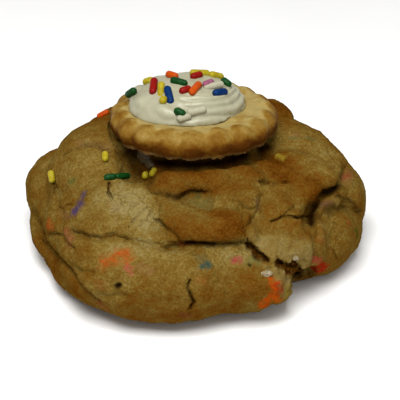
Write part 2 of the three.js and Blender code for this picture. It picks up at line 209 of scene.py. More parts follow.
def distance_to_path(points, path):
    """For every point, its distance to a path of straight runs, and the nearest place on the path."""
    best = np.full(len(points), np.inf)
    nearest = np.zeros_like(points)
    for start, end in zip(path, path[1:]):
        start, end = np.array(start), np.array(end)
        along = end - start
        share = np.clip((points - start) @ along / max(along @ along, 1e-12), 0, 1)
        place = start + share[:, None] * along
        away = np.linalg.norm(points - place, axis=1)
        closer = away < best
        best[closer] = away[closer]
        nearest[closer] = place[closer]
    return best, nearest


def smoothstep(values, low, high):
    """0 below low, 1 above high and a soft ramp between."""
    share = np.clip((values - low) / (high - low), 0, 1)
    return share * share * (3 - 2 * share)


def noise_at(points, size, octaves=3, seed=0.0):
    """Soft noise between about -1 and 1 at every point, with bumps about `size` across."""
    shift = Vector((seed, seed * 1.7, -seed * 0.6))
    return np.array([
        noise.fractal(Vector(point) / size + shift, 1.0, 2.0, octaves) for point in points
    ])


def picture_place(points):
    """Where each point shows in the picture: pixels across and down."""
    offset = points - np.array(camera_at)
    away = offset @ np.array(look)
    scale = CAMERA_AWAY / PIXEL / away
    across = PICTURE_MIDDLE + (offset @ np.array(camera_right)) * scale
    down = PICTURE_MIDDLE - (offset @ np.array(camera_up)) * scale
    return np.column_stack([across, down])


def inside_outline(places, outline):
    """How far each place is inside a closed outline, in pixels, and negative outside it."""
    best = np.full(len(places), np.inf)
    inside = np.zeros(len(places), bool)
    for start, end in zip(outline, outline[1:] + outline[:1]):
        start, end = np.array(start, float), np.array(end, float)
        along = end - start
        share = np.clip((places - start) @ along / (along @ along), 0, 1)
        off = places - start - share[:, None] * along
        best = np.minimum(best, np.hypot(off[:, 0], off[:, 1]))
        crosses = (start[1] > places[:, 1]) != (end[1] > places[:, 1])
        if end[1] != start[1]:
            at = start[0] + (places[:, 1] - start[1]) * along[0] / along[1]
            inside ^= crosses & (places[:, 0] < at)
    return np.where(inside, best, -best)


# %% [markdown]
# ## The dough: its lobes
#
# A folded ball of dough bakes into fat rolls and lobes that have melted into each other. It could be
# sculpted from one ball, but it is easier to control as many: each roll, rim and knob is a stretched
# ball, added at its own size and place. Their half sizes and places are in millimetres, each with
# its turn about Z and the width over which it melts into the others.

# %% The lobes
LOBES = [
    # name, middle, half sizes, turn, melt
    ("foot", (-3, 4, 2.5), (43, 34, 7.5), 0, 2),
    ("base", (-1.5, 8, 7.5), (48.5, 39, 9.5), 0, 2),
    ("base left", (-24.3, -12, 6), (17.8, 17.3, 7), 0, 2),
    ("heart", (0, 3, 14), (40, 37, 19), 0, 3),
    ("seat", (0, 13, 31), (22, 22, 9), 0, 3),
    ("front roll, left end", (-31, -5, 14), (13, 17, 12), 15, 2),
    ("front roll, left", (-22, -20.5, 12.9), (17, 16.5, 12.7), -40, 4),
    ("front roll", (-6.5, -27.9, 12.4), (25.5, 15.3, 12.9), 6, 4),
    ("front roll, right", (16.6, -25.4, 11.8), (12.8, 13.4, 10.7), 0, 5),
    ("left rim", (-38, 16.8, 14.4), (13.7, 17.8, 10.8), 0, 2),
    ("left shoulder", (-25, 10, 23), (18.6, 22, 15), -8, 2),
    ("left fold", (-21, -13, 19), (15, 15, 12.5), -20, 5),
    ("swoosh", (-7, -18, 22.5), (8, 14, 8.5), 40, 2),
    ("brown roll", (4, -25, 21), (15, 9.8, 9), 0, 1.2),
    ("ridge, left", (1, -5, 28), (16, 11, 8), 0, 1.2),
    ("trunk", (15, -10, 25.5), (6.5, 13, 8), 0, 2.5),
    ("ridge, right", (25, 1, 26), (20, 9, 9), -25, 3),
    ("right back", (26.1, 17.8, 20.3), (23.9, 15.8, 15.2), -45, 2),
    ("tongue", (25, -10, 23), (12, 8, 7), 20, 2.5),
    ("flap", (25, -18, 17), (12, 11, 12), 0, 2.5),
    ("right rim, upper", (43, 11.5, 13.3), (8.5, 11.5, 11.3), 0, 1.5),
    ("right rim, lower", (36.8, -5.4, 10.8), (9.6, 14.6, 10.8), -22, 1.5),
    ("right rim, foot", (42.4, 0.6, 9), (6.8, 7.6, 8), 0, 3),
    ("right knob", (41, 26.3, 14.6), (6, 7, 7.5), 0, 1.5),
    ("back knob", (22.5, 33, 28.3), (8, 8, 7), 0, 2),
    ("left knob", (-23.5, 27, 27), (9, 10, 8.5), 0, 3),
    ("back left", (-17, 27, 16), (22, 18, 12), 0, 3),
    ("back middle", (6, 32, 18), (22, 17, 14), 0, 3),
]
NOTCH_OUTLINE = [
    # the ragged edge of the notch beside the split, over the picture
    (291, 274), (295, 272), (300, 271), (303, 274), (304.5, 278), (308, 281), (314, 281.5),
    (330, 290), (330, 330), (255, 330), (262, 310.5), (268, 306), (272, 303.5), (279, 304),
    (285, 302), (289, 298), (291, 292), (290.5, 284),
]
NOTCHES = [
    # name, middle, half sizes, turn, melt
    ("notch", (31.9, -26, 3), (4.3, 11.5, 9.5), 0, 1),
    ("notch, high", (30.4, -29, 7.5), (3.1, 8, 5.2), 0, 1),
    ("notch, deep", (30.2, -17, 1), (2.6, 8, 5.5), 0, 1),
]

BISCUIT_AT = Vector((-0.7, 13, 40))
BISCUIT_TILT = math.radians(-5)
BISCUIT_RADIUS = 24.8
BISCUIT_HALF = 4.0


def lobe_ball(middle, half, turn):
    """One stretched ball at a lobe's place."""
    place = (Vector(middle) - OUTLINE_MIDDLE) * MM
    bpy.ops.mesh.primitive_uv_sphere_add(segments=48, ring_count=24, radius=1, location=place)
    ball = bpy.context.object
    ball.scale = Vector(half) * MM
    ball.rotation_euler.z = math.radians(turn)
    return ball


deselect()
dough = join([lobe_ball(*lobe[1:4]) for lobe in LOBES], "dough_body")
print("lobes", len(LOBES), "balls with", len(dough.data.polygons), "faces")

# %% [markdown]
# ## The dough: melting the lobes together
#
# A voxel remesh wraps the balls in one even skin, but it keeps a hard valley wherever two balls
# cross. Dough has none there, so every point of the skin is then drawn onto a softer surface: the
# distance to all the lobes at once, blended with a smooth minimum. The biscuit's seat is pressed into
# that surface, and the notch by the split is taken from it. Two rounds of remesh and draw leave even
# faces on the final form.

# %% Melting the lobes
FIRST_VOXEL = 1.2 * MM
SKIN_VOXEL = 0.68 * MM
FOOT_HEIGHT = 0.0
SEAT_CLEARANCE = 0.2
SEAT_ROUNDING = 1.5
NOTCH_BESIDE = 15                            # the notch's edge is cut to the right of this
NOTCH_EDGE_MELT = 0.8
LONGEST_MOVE = 1.5                           # of a point in one round of drawing


def ellipsoid_distance(points, middle, half, turn):
    """The distance in mm from each point to a stretched ball, negative inside it."""
    cos, sin = math.cos(math.radians(turn)), math.sin(math.radians(turn))
    offset = points - np.array(middle, float)
    u = (offset[:, 0] * cos + offset[:, 1] * sin) / half[0]
    v = (offset[:, 1] * cos - offset[:, 0] * sin) / half[1]
    w = offset[:, 2] / half[2]
    size = np.sqrt(u * u + v * v + w * w)
    slope = np.sqrt((u / half[0]) ** 2 + (v / half[1]) ** 2 + (w / half[2]) ** 2)
    return size * (size - 1) / np.maximum(slope, 1e-6)


def smooth_min(a, b, melt):
    """The smaller of two distances, rounded off where they meet."""
    share = np.clip(0.5 + 0.5 * (b - a) / melt, 0, 1)
    return b + (a - b) * share - melt * share * (1 - share)


def seat_distance(points):
    """The distance in mm to the round well that the biscuit was pressed into, open at its top."""
    tilt = np.array(Matrix.Rotation(BISCUIT_TILT, 3, "X"))
    local = (points - np.array(BISCUIT_AT)) @ tilt
    out = np.hypot(local[:, 0], local[:, 1]) - (BISCUIT_RADIUS + SEAT_CLEARANCE - SEAT_ROUNDING)
    up = -local[:, 2] - (BISCUIT_HALF + SEAT_CLEARANCE - SEAT_ROUNDING)
    outside = np.hypot(np.maximum(out, 0), np.maximum(up, 0))
    return outside + np.minimum(np.maximum(out, up), 0) - SEAT_ROUNDING


def dough_distance(points):
    """The distance in mm to the melted dough, in the lobes' own millimetres."""
    distance = None
    for _, middle, half, turn, melt in LOBES:
        lobe = ellipsoid_distance(points, middle, half, turn)
        distance = lobe if distance is None else smooth_min(distance, lobe, melt)
    for _, middle, half, turn, melt in NOTCHES:
        notch = ellipsoid_distance(points, middle, half, turn)
        distance = -smooth_min(-distance, notch, melt)
    near = (points[:, 0] > NOTCH_BESIDE) & (points[:, 1] < 0)
    places = picture_place((points[near] - np.array(OUTLINE_MIDDLE)) * MM)
    gap = inside_outline(places, NOTCH_OUTLINE) * PIXEL / MM
    distance[near] = -smooth_min(-distance[near], -gap, NOTCH_EDGE_MELT)
    distance = np.maximum(distance, -seat_distance(points))
    return np.maximum(distance, FOOT_HEIGHT - points[:, 2])


def draw_onto_dough(thing, rounds=5):
    """Moves every point of the skin onto the melted dough's surface."""
    points = points_of(thing) / MM + np.array(OUTLINE_MIDDLE)
    step = 0.05
    for _ in range(rounds):
        distance = dough_distance(points)
        slope = np.empty_like(points)
        for axis in range(3):
            beside = points.copy()
            beside[:, axis] += step
            slope[:, axis] = (dough_distance(beside) - distance) / step
        steepness = np.maximum((slope * slope).sum(axis=1), 0.25)
        move = np.clip(distance / steepness, -LONGEST_MOVE, LONGEST_MOVE)
        points -= slope * move[:, None]
    points[:, 2] = np.maximum(points[:, 2], FOOT_HEIGHT)
    move_points(thing, (points - np.array(OUTLINE_MIDDLE)) * MM)


for voxel in (FIRST_VOXEL, SKIN_VOXEL):
    apply_modifier(dough, "REMESH", mode="VOXEL", voxel_size=voxel, use_smooth_shade=True)
    draw_onto_dough(dough)
print("dough skin", len(dough.data.vertices), "points")

# %% [markdown]
# ## The dough: creases with lips
#
# Where one fold lies over another the dough has a crease: a V pressed into it, deepest along its
# line, with a rounded lip that hangs a little over it from the fold on top. Each crease is a path
# over the picture, drawn so that the lip is on its left hand, and laid on the skin by the lines of
# sight. Swells are softer: fuller or hollower places along a path, which the lobes alone are too
# round for. The back isn't in the picture, so its creases are given by their places in millimetres.

# %% Creases
CREASES = [
    # name, path over the picture with the lip on its left hand, reach, depth, lip and overhang in mm
    ("front crease, left", [(70, 230), (80, 232), (88, 235), (100, 237), (108, 235), (115, 232)],
     2.4, 1.9, 0.5, 0.3),
    ("front crease, middle", [(112, 233), (122, 236), (135, 240), (150, 242), (166, 243)],
     2.2, 1.4, 0.35, 0.3),
    ("under the brown roll, left", [(157, 222), (163, 228), (170, 232), (176, 237), (182, 241)],
     3.0, 1.8, 0.5, 0.3),
    ("under the brown roll", [(166, 243), (180, 243), (190, 243), (205, 244), (225, 245), (246, 243)],
     4.0, 3.4, 0.6, 0.9),
    ("right end of the brown roll", [(248, 240), (246, 225), (243, 213), (239, 205)],
     2.6, 1.5, 0.4, 0.2),
    ("behind the brown roll", [(222, 208), (212, 211), (200, 209), (190, 206), (180, 202)],
     2.6, 0.9, 0.5, 0.2),
    ("foot of the ridge", [(152, 191), (163, 192), (175, 196), (183, 195), (191, 192), (201, 191)],
     3.0, 2.2, 0.6, 0.5),
    ("edge of the mound", [(154, 192), (147, 184), (137, 179), (126, 179)], 3.4, 2.4, 0.6, 0.3),
    ("left edge of the mound", [(110, 183), (109, 190), (111, 198)], 1.2, 1.3, 0.2, 0.0),
    ("right edge of the mound", [(153, 193), (156, 204), (157, 214), (157, 222)], 1.8, 0.7, 0.0, 0.0),
    ("beside the trunk", [(248, 236), (250, 225), (256, 217), (260, 207), (264, 195)],
     2.8, 1.6, 0.0, 0.0),
    ("scoop in the trunk", [(243, 206), (248, 210), (254, 209), (259, 203)], 1.6, 0.9, 0.2, 0.0),
    ("over the tongue", [(262, 180), (270, 181), (278, 182), (286, 181)], 2.0, 1.6, 0.5, 0.5),
    ("top of the flap, left", [(271, 221), (277, 219), (284, 214), (290, 209), (297, 204)],
     1.5, 1.1, 0.3, 0.2),
    ("top of the flap", [(284, 215), (290, 216), (300, 217), (310, 217)], 1.3, 1.5, 0.3, 0.3),
    ("side of the flap", [(315, 262), (317, 245), (313, 232), (309, 220), (310, 210), (317, 203),
                          (323, 194)], 3.4, 2.8, 0.4, 0.3),
    ("over the right rim", [(324, 191), (336, 188), (343, 180), (345, 168)], 3.8, 2.8, 0.6, 0.6),
    ("edge of the right ridge", [(262, 156), (275, 160), (290, 166), (305, 174), (318, 186)],
     3.4, 1.2, 0.0, 0.0),
    ("layer of the shoulder", [(108, 153), (104, 148), (95, 143), (82, 145), (70, 150), (62, 155),
                               (58, 163), (55, 175), (55, 190), (57, 205)], 2.8, 2.2, 0.5, 0.2),
    ("over the left knob", [(62, 208), (56, 206), (50, 210)], 1.8, 1.4, 0.2, 0.0),
    ("beside the left knob", [(62, 208), (61, 218), (60, 230), (63, 240)], 2.0, 1.8, 0.0, 0.0),
    ("under the left knob", [(47, 235), (53, 233), (60, 234)], 1.6, 1.5, 0.3, 0.2),
    ("cleft in the roll", [(62, 236), (66, 243), (73, 248)], 1.7, 1.4, 0.2, 0.0),
    ("wrinkle in the roll, left", [(66, 262), (73, 268), (83, 271), (92, 272)], 2.2, 0.8, 0.3, 0.1),
    ("wrinkle in the roll, low", [(95, 296), (110, 297), (124, 294)], 2.2, 0.6, 0.2, 0.1),
    ("step down to the base", [(36, 214), (40, 230), (46, 243), (57, 258), (70, 274), (83, 290),
                               (97, 304)], 3.2, 2.8, 0.3, 0.4),
    ("pucker in the right back", [(330, 150), (336, 160), (341, 170)], 2.4, 0.8, 0.0, 0.0),
    ("between the right knobs", [(336, 196), (346, 200), (354, 206), (362, 213)], 2.8, 2.0, 0.4, 0.2),
    ("front of the right rim", [(333, 206), (331, 218), (334, 232), (331, 246)], 2.4, 0.8, 0.2, 0.0),
    ("wrinkle in the right rim", [(334, 250), (338, 240), (345, 232)], 1.6, 0.5, 0.0, 0.0),
]
SWELLS = [
    # name, path over the picture, reach and height in mm, and a hollow where that is below nothing
    ("ridge", [(160, 178), (180, 178), (210, 177), (240, 172)], 5.0, 1.2),
    ("right ridge", [(268, 168), (285, 172), (305, 182), (314, 194)], 4.2, 1.0),
    ("tongue", [(276, 192), (272, 204), (264, 214)], 4.2, 1.1),
    ("brown roll", [(170, 214), (183, 226), (200, 229), (220, 227), (236, 221)], 4.6, 2.2),
    ("hollow under the ridge", [(188, 202), (198, 204), (206, 204)], 3.0, -1.5),
    ("filling right of the hollow", [(222, 196), (236, 204)], 4.2, 1.4),
    ("mound", [(120, 190), (136, 196), (144, 208)], 6.0, 1.0),
    ("flap", [(275, 236), (298, 246)], 7.0, 0.5),
    ("flap, lump high", [(292, 226)], 3.0, 0.5),
    ("flap, lump low", [(268, 244), (274, 250)], 2.6, 0.5),
    ("flap, lump right", [(306, 250)], 2.6, 0.5),
    ("hole beside the flap", [(315, 207), (312, 215), (311, 224)], 2.2, -5.5),
    ("hollow over the right rim", [(324, 192), (331, 191)], 1.8, -2.5),
    ("hollow left of the biscuit", [(128, 150), (133, 163), (139, 172)], 4.6, -4.6),
    ("left knob", [(50, 221)], 3.6, 0.9),
    ("front roll, left", [(82, 262), (95, 275)], 9.0, 0.5),
    ("front roll, lump by the cleft", [(80, 250)], 3.6, 0.8),
    ("front roll, lump far left", [(62, 252)], 3.2, 0.7),
    ("front roll, lump low left", [(86, 282)], 4.2, 0.9),
    ("front roll, dip left", [(74, 264), (90, 268)], 2.4, -0.8),
    ("front roll, lump by the pit", [(132, 284)], 4.5, 0.7),
    ("front roll, dip by the pit", [(118, 290), (124, 298)], 2.8, -0.7),
    ("front roll, lump over the foot", [(165, 300)], 5.0, 0.7),
    ("front roll, right", [(215, 285), (250, 280)], 8.0, 0.6),
    ("right rim", [(348, 222), (350, 236)], 5.0, 1.0),
    ("right rim, upper knob", [(352, 186), (354, 194)], 4.0, 1.0),
    ("tongue, end", [(272, 196), (284, 190)], 3.0, 0.7),
    ("under the biscuit", [(160, 165), (180, 166), (200, 167), (225, 163), (245, 157)], 2.4, -3.0),
    ("dark hole under the biscuit", [(260, 150), (268, 147)], 3.0, -4.0),
]
BACK_CREASES = [
    # name, path round the back in mm, reach and depth in mm
    ("over the back roll", [(-34, 34, 17), (-20, 42, 20), (-4, 46, 20), (10, 47, 17)], 3.4, 2.4),
    ("under the back roll", [(-24, 42, 8), (-6, 47, 7), (12, 47, 8), (26, 42, 6)], 3.0, 1.8),
    ("between the back knobs", [(2, 32, 36), (6, 40, 28), (3, 46, 21)], 3.2, 2.2),
    ("beside the right knob", [(33, 34, 24), (36, 33, 16), (34, 36, 8)], 3.0, 2.2),
    ("behind the left rim", [(-44, 26, 20), (-40, 32, 14), (-36, 37, 7)], 3.0, 1.8),
]

# %% [markdown]
# A path is laid on the skin in short runs. A run that would leap from one fold to another behind it
# is left out when the side with the lip is found.

# %% Laying paths on the skin
LONGEST_RUN = 5 * MM
SHORTEST_RUN = 0.001 * MM


def seen_path(tree, path):
    """A path over the picture, laid on the surface in short runs. It may be a single place."""
    if len(path) == 1:
        path = path * 2
    places = []
    for start, end in zip(path, path[1:]):
        steps = max(1, round(math.dist(start, end) / 3))
        for i in range(steps + 1):
            u = start[0] + (end[0] - start[0]) * i / steps
            v = start[1] + (end[1] - start[1]) * i / steps
            places.append(seen_point(tree, u, v)[0])
    return places


def back_path(tree, path):
    """A path given in mm, laid on the nearest places of the surface in short runs."""
    places = []
    for start, end in zip(path, path[1:]):
        start, end = Vector(start) - OUTLINE_MIDDLE, Vector(end) - OUTLINE_MIDDLE
        steps = max(1, round((end - start).length))
        for i in range(steps):
            places.append(tree.find_nearest(start.lerp(end, i / steps) * MM)[0])
    return places


def side_of_path(points, nearest, line):
    """1 for points on the left hand of a line as it shows in the picture, else 0."""
    runs = [(a, b) for a, b in zip(line, line[1:]) if SHORTEST_RUN < (b - a).length < LONGEST_RUN]
    middles = np.array([(a + b) / 2 for a, b in runs])
    ahead = np.array([b - a for a, b in runs])
    chosen = ahead[np.argmin(
        np.linalg.norm(nearest[:, None, :] - middles[None, :, :], axis=2), axis=1)]
    off = points - nearest
    across, up = np.array(camera_right), np.array(camera_up)
    turn = (chosen @ across) * (off @ up) - (chosen @ up) * (off @ across)
    return (turn > 0).astype(float)


def refine(thing, chosen, cuts):
    """Splits the chosen faces into finer ones."""
    pick(thing)
    mesh = thing.data
    mesh.vertices.foreach_set("select", np.zeros(len(mesh.vertices), bool))
    mesh.edges.foreach_set("select", np.zeros(len(mesh.edges), bool))
    mesh.polygons.foreach_set("select", chosen)
    bpy.context.tool_settings.mesh_select_mode = (False, False, True)
    bpy.ops.object.mode_set(mode="EDIT")
    bpy.ops.mesh.subdivide(number_cuts=cuts)
    bpy.ops.object.mode_set(mode="OBJECT")


def face_middles(thing):
    """The middle of every face."""
    middles = np.empty(len(thing.data.polygons) * 3)
    thing.data.polygons.foreach_get("center", middles)
    return middles.reshape(-1, 3)


# %% [markdown]
# The faces near the creases are made finer first, so that the creases stay crisp, and drawn onto the
# melted form once more. Then come the swells.

# %% Finer faces, and the swells
dough_tree = surface_tree(dough)
crease_lines = {crease[0]: seen_path(dough_tree, crease[1]) for crease in CREASES}

middles = face_middles(dough)
near_crease = np.zeros(len(middles), bool)
for name, _, reach, *_ in CREASES:
    near_crease |= distance_to_path(middles, crease_lines[name])[0] < 0.45 * reach * MM
refine(dough, near_crease, 1)
draw_onto_dough(dough, rounds=2)

points = points_of(dough)
normals = normals_of(dough)
for name, path, reach, height in SWELLS:
    away, _ = distance_to_path(points, seen_path(dough_tree, path))
    points += normals * (height * MM * np.exp(-(away / (reach * MM)) ** 2))[:, None]
move_points(dough, points)
print("swells", len(SWELLS), "on", len(dough.data.polygons), "faces")

# %% Pressing the creases in
dough_tree = surface_tree(dough)
crease_lines = {crease[0]: seen_path(dough_tree, crease[1]) for crease in CREASES}
normals = normals_of(dough)
pressed = np.zeros(len(points))
raised = np.zeros(len(points))
dragged = np.zeros_like(points)
for name, _, reach, depth, lip, overhang in CREASES:
    line = crease_lines[name]
    away, nearest = distance_to_path(points, line)
    near = np.clip(1 - away / (reach * MM), 0, 1)
    pressed = np.maximum(pressed, depth * MM * near ** 2)
    if lip or overhang:
        close = away < 1.6 * reach * MM
        upper = np.zeros(len(points))
        upper[close] = side_of_path(points[close], nearest[close], line)
        swell = upper * np.exp(-((away / (reach * MM) - 0.45) / 0.3) ** 2)
        raised = np.maximum(raised, lip * MM * swell)
        towards = (nearest - points) / np.maximum(away, 1e-9)[:, None]
        dragged += towards * (overhang * MM * swell)[:, None]
for name, path, reach, depth in BACK_CREASES:
    crease_lines[name] = back_path(dough_tree, path)
    away, _ = distance_to_path(points, crease_lines[name])
    away = away / MM + 0.5 * noise_at(points, 3.0 * MM, 2, 8.0)
    pressed = np.maximum(pressed, depth * MM * np.clip(1 - np.abs(away) / reach, 0, 1) ** 2)
points += normals * (raised - pressed)[:, None] + dragged
move_points(dough, points)
apply_modifier(dough, "SMOOTH", factor=0.4, iterations=2)
print("creases", len(CREASES), "deepest", round(pressed.max() / MM, 2), "mm;",
      len(dough.data.polygons), "faces")

# %% [markdown]
# ## The dough: the split, the torn crumb and the cracks
#
# On the right the front roll has torn open: a wedge of crumb, coloured darker than the skin, shows
# between the ragged edge of the flap above and the front roll below. Its outline is drawn over the
# picture, and what is inside is pressed away from the camera, rougher than the rest. The thin cracks
# of the baked skin are narrow creases without lips. Around both the faces are split finer again.

# %% The split and the cracks
SPLIT_LEFT = [
    (245, 243), (247.5, 238), (250, 241), (252, 245), (256, 248), (260, 252), (264, 254),
    (267, 257), (270, 262), (264, 262), (258, 262), (254, 258), (251, 252), (247, 247),
]
SPLIT_RIGHT = [
    (274.5, 263), (276.5, 255.5), (280, 258), (284, 262), (289, 264), (294, 260.5), (297, 264),
    (301, 268), (303, 272), (298, 275), (290, 275), (283, 271), (278, 269),
]
SPLIT_DEPTH = 3.2
SPLIT_ROUGHNESS = 0.9                        # how much its floor goes up and down
SPLIT_SLOPE = 0.7                            # mm over which its walls fall
FRONT_OF = -15 * MM                          # only the skin in front of this is pressed in
CRACKS = [
    # name, path over the picture, reach and depth in mm
    ("front roll, high", [(190, 280), (188, 284), (188, 289), (190, 293)], 0.45, 1.4),
    ("front roll", [(190, 293), (192, 299), (194, 302), (191, 305), (190, 308)], 0.7, 2.2),
    ("pit, front left", [(117.4, 286), (119, 285.6)], 0.85, 1.4),
    ("pit, front", [(193.4, 252), (194, 254.6)], 0.4, 0.7),
    ("pit, green", [(249, 264.6), (250.4, 266)], 0.45, 0.8),
    ("pit, right rim", [(333.4, 222), (335, 223.6)], 0.35, 0.7),
    ("under the green sprinkle", [(109, 183), (108, 189), (110, 196)], 0.55, 1.3),
    ("over the flap", [(272, 221), (277, 219), (281, 217)], 0.45, 1.0),
    ("flap, right", [(285, 216), (291, 216), (297, 218), (304, 216), (309, 217)], 0.5, 1.2),
    ("mound wrinkle, high", [(118, 204), (127, 202), (138, 203)], 0.35, 0.3),
    ("mound wrinkle, slanting", [(132, 222), (140, 214), (147, 207)], 0.4, 0.4),
    ("mound wrinkle, low", [(128, 228), (134, 222), (137, 214)], 0.35, 0.3),
    ("mound wrinkle, left", [(113, 200), (117, 206), (116, 214)], 0.35, 0.35),
    ("mound wrinkle, right", [(140, 226), (146, 220), (150, 211)], 0.35, 0.3),
    ("right rim", [(333, 250), (336, 258)], 0.45, 0.7),
    ("left rim", [(54, 183), (55, 188), (54, 193)], 0.7, 1.2),
    ("shoulder", [(67, 205), (74, 204)], 0.5, 0.5),
    ("roll, left end", [(44, 240), (48, 243)], 0.7, 1.2),
]

# %% Finer faces round the split and the cracks
dough_tree = surface_tree(dough)
crack_lines = {crack[0]: seen_path(dough_tree, crack[1]) for crack in CRACKS}
middles = face_middles(dough)
fronts = middles[:, 1] < FRONT_OF
near_split = np.maximum(inside_outline(picture_place(middles), SPLIT_LEFT),
                        inside_outline(picture_place(middles), SPLIT_RIGHT)) > -4
refine(dough, near_split & fronts, 1)
middles = face_middles(dough)
near_crack = np.zeros(len(middles), bool)
for name, _, reach, _ in CRACKS:
    near_crack |= distance_to_path(middles, crack_lines[name])[0] < 1.3 * reach * MM
refine(dough, near_crack, 2)
print("finer faces:", len(dough.data.polygons))

# %% Pressing the split and the cracks in
points = points_of(dough)
normals = normals_of(dough)
ragged = noise_at(points, 1.6 * MM, 3, 5.0) * 1.6
places = picture_place(points)
inside_split = np.maximum(inside_outline(places, SPLIT_LEFT), inside_outline(places, SPLIT_RIGHT))
inside_split = (inside_split + ragged) * PIXEL / MM
split = smoothstep(inside_split, -0.3, SPLIT_SLOPE - 0.3) * (points[:, 1] < FRONT_OF)
crumb = noise_at(points, 1.5 * MM, 4, 9.0)
points += np.array(look) * (split * (SPLIT_DEPTH + SPLIT_ROUGHNESS * crumb) * MM)[:, None]

cracked = np.zeros(len(points))
wander = noise_at(points, 1.2 * MM, 2, 3.0) * 0.35
for name, _, reach, depth in CRACKS:
    away, _ = distance_to_path(points, crack_lines[name])
    near = np.clip(1 - np.abs(away / MM + wander * 0.3) / reach, 0, 1)
    cracked = np.maximum(cracked, depth * near ** 1.5)
points -= normals * (cracked * MM)[:, None]
move_points(dough, points)
print("split", round(split.sum()), "points, deepest crack", cracked.max(), "mm")

# %% [markdown]
# ## The dough: lumps and crumb
#
# Baked dough is never smooth. Soft lumps as wide as a fingertip show the chips and air inside, and a
# finer crumb roughens all of it, most where the flap has torn. The skin is moved out and in along its
# outward direction by noise of those sizes. The flat foot stays flat, because the tray shaped it.

# %% Lumps and crumb
TORN_OUTLINE = [
    (250, 234), (262, 236), (275, 236), (290, 240), (305, 238), (313, 246), (313, 262), (304, 272),
    (296, 266), (284, 262), (272, 257), (260, 250),
]
BROKEN_OUTLINE = [
    (262, 264), (274, 266), (288, 269), (292, 280), (291, 294), (284, 300), (278, 292), (276, 280),
    (268, 272),
]
LUMP_SIZE = 7.0
LUMP_HEIGHT = 0.65
CRUMB_SIZE = 1.8
CRUMB_HEIGHT = 0.20
TORN_CRUMB_SIZE = 2.2
TORN_HEIGHT = 1.0
TORN_SHARE = 0.75                            # the flap's crumb is less open than the split's
TORN_FRONT_OF = -10 * MM                     # the outlines count only on the near side

points = points_of(dough)
normals = normals_of(dough)
places = picture_place(points)
in_front = points[:, 1] < TORN_FRONT_OF
torn = smoothstep(inside_outline(places, TORN_OUTLINE), -5, 5) * in_front * TORN_SHARE
broken = smoothstep(inside_outline(places, BROKEN_OUTLINE), -1, 2) * in_front
torn = np.maximum.reduce([torn, broken, split])

dough_lumps = noise_at(points, LUMP_SIZE * MM, 2, 1.0) * LUMP_HEIGHT
crumbs = noise_at(points, CRUMB_SIZE * MM, 4, 2.0) * CRUMB_HEIGHT
torn_crumbs = noise_at(points, TORN_CRUMB_SIZE * MM, 5, 4.0) * TORN_HEIGHT
off_foot = smoothstep(points[:, 2] / MM, 0.3, 2.5)
relief = (dough_lumps + crumbs * (1 - torn) + torn_crumbs * torn) * off_foot
points += normals * (relief * MM)[:, None]

points = kept_inside(points, "dough")
move_points(dough, points)
smooth_faces(dough)
dough_tree = surface_tree(dough)
print("relief from", round(relief.min(), 2), "to", round(relief.max(), 2), "mm")

# %% [markdown]
# ## The little fluted biscuit
#
# It is a thin round of pale shortbread, cut with a fluted cutter, whose rim puffed up into soft
# lobes round a flat plate. A ring of overlapping balls, a tube that joins them over their tops and a
# thin drum between them give that form at once. The skin over them is smoothed until the lobes are
# shallow, and the bottom edge is left crumbly, as it broke off the tray.

# %% The biscuit's form
FLUTES = 19
FLUTE_RING = 20.5
FLUTE_HALF = (4.3, 4.9, 4.2)                 # out from the middle, along the ring and up
RIM_TUBE = 3.8                               # the ring that joins the flutes over their tops
PLATE_RADIUS = 20.5
PLATE_TOP = 3.4
BISCUIT_UNDERSIDE = -4.0
BISCUIT_VOXEL = 0.42 * MM
BISCUIT_LUMPS = 0.36
BISCUIT_CRUMB = 0.10

biscuit_turn = Matrix.Rotation(BISCUIT_TILT, 4, "X")
biscuit_place = Matrix.Translation((BISCUIT_AT - OUTLINE_MIDDLE) * MM) @ biscuit_turn


def flute_ball(index):
    """One lobe of the rim, none quite like another. The first faces the front."""
    random.seed(100 + index)
    turn = index * 2 * math.pi / FLUTES - math.pi / 2 + random.uniform(-0.02, 0.02)
    out = FLUTE_RING + random.uniform(-0.25, 0.25)
    place = Vector((math.cos(turn), math.sin(turn), 0)) * out * MM
    bpy.ops.mesh.primitive_uv_sphere_add(segments=32, ring_count=16, radius=1, location=place)
    ball = bpy.context.object
    ball.scale = Vector(FLUTE_HALF) * MM * random.uniform(0.97, 1.03)
    ball.rotation_euler.z = turn
    return ball


deselect()
flutes = [flute_ball(index) for index in range(FLUTES)]
plate_height = PLATE_TOP - BISCUIT_UNDERSIDE
bpy.ops.mesh.primitive_cylinder_add(
    vertices=96, radius=PLATE_RADIUS * MM, depth=plate_height * MM,
    location=(0, 0, (PLATE_TOP + BISCUIT_UNDERSIDE) / 2 * MM))
drum = bpy.context.object
bpy.ops.mesh.primitive_torus_add(
    major_segments=96, minor_segments=24, major_radius=(FLUTE_RING - 0.3) * MM,
    minor_radius=RIM_TUBE * MM, location=(0, 0, 0))
biscuit = join([*flutes, drum, bpy.context.object], "biscuit_body")
apply_modifier(biscuit, "REMESH", mode="VOXEL", voxel_size=BISCUIT_VOXEL, use_smooth_shade=True)
apply_modifier(biscuit, "SMOOTH", factor=0.5, iterations=12)

# %% The biscuit's rim, plate and crumb
points = points_of(biscuit) / MM
radius = np.hypot(points[:, 0], points[:, 1])
flute_turn = np.arctan2(points[:, 1], points[:, 0]) + math.pi / 2
groove = 1 - np.abs(np.cos(flute_turn * FLUTES / 2))
plate_edge = 18.6 + 1.6 * groove + 2.2 * np.maximum(np.sin(flute_turn - 0.35), 0)
rim = smoothstep(radius + 0.8 * noise_at(points, 5.0, 2, 14.0) - plate_edge, -0.6, 1.4)
bottom = smoothstep(-points[:, 2], 2.0, 3.6)
biscuit_face = smoothstep(-points[:, 2], -2.6, 1.0)
edge = bottom * smoothstep(radius, 19.0, 21.5)

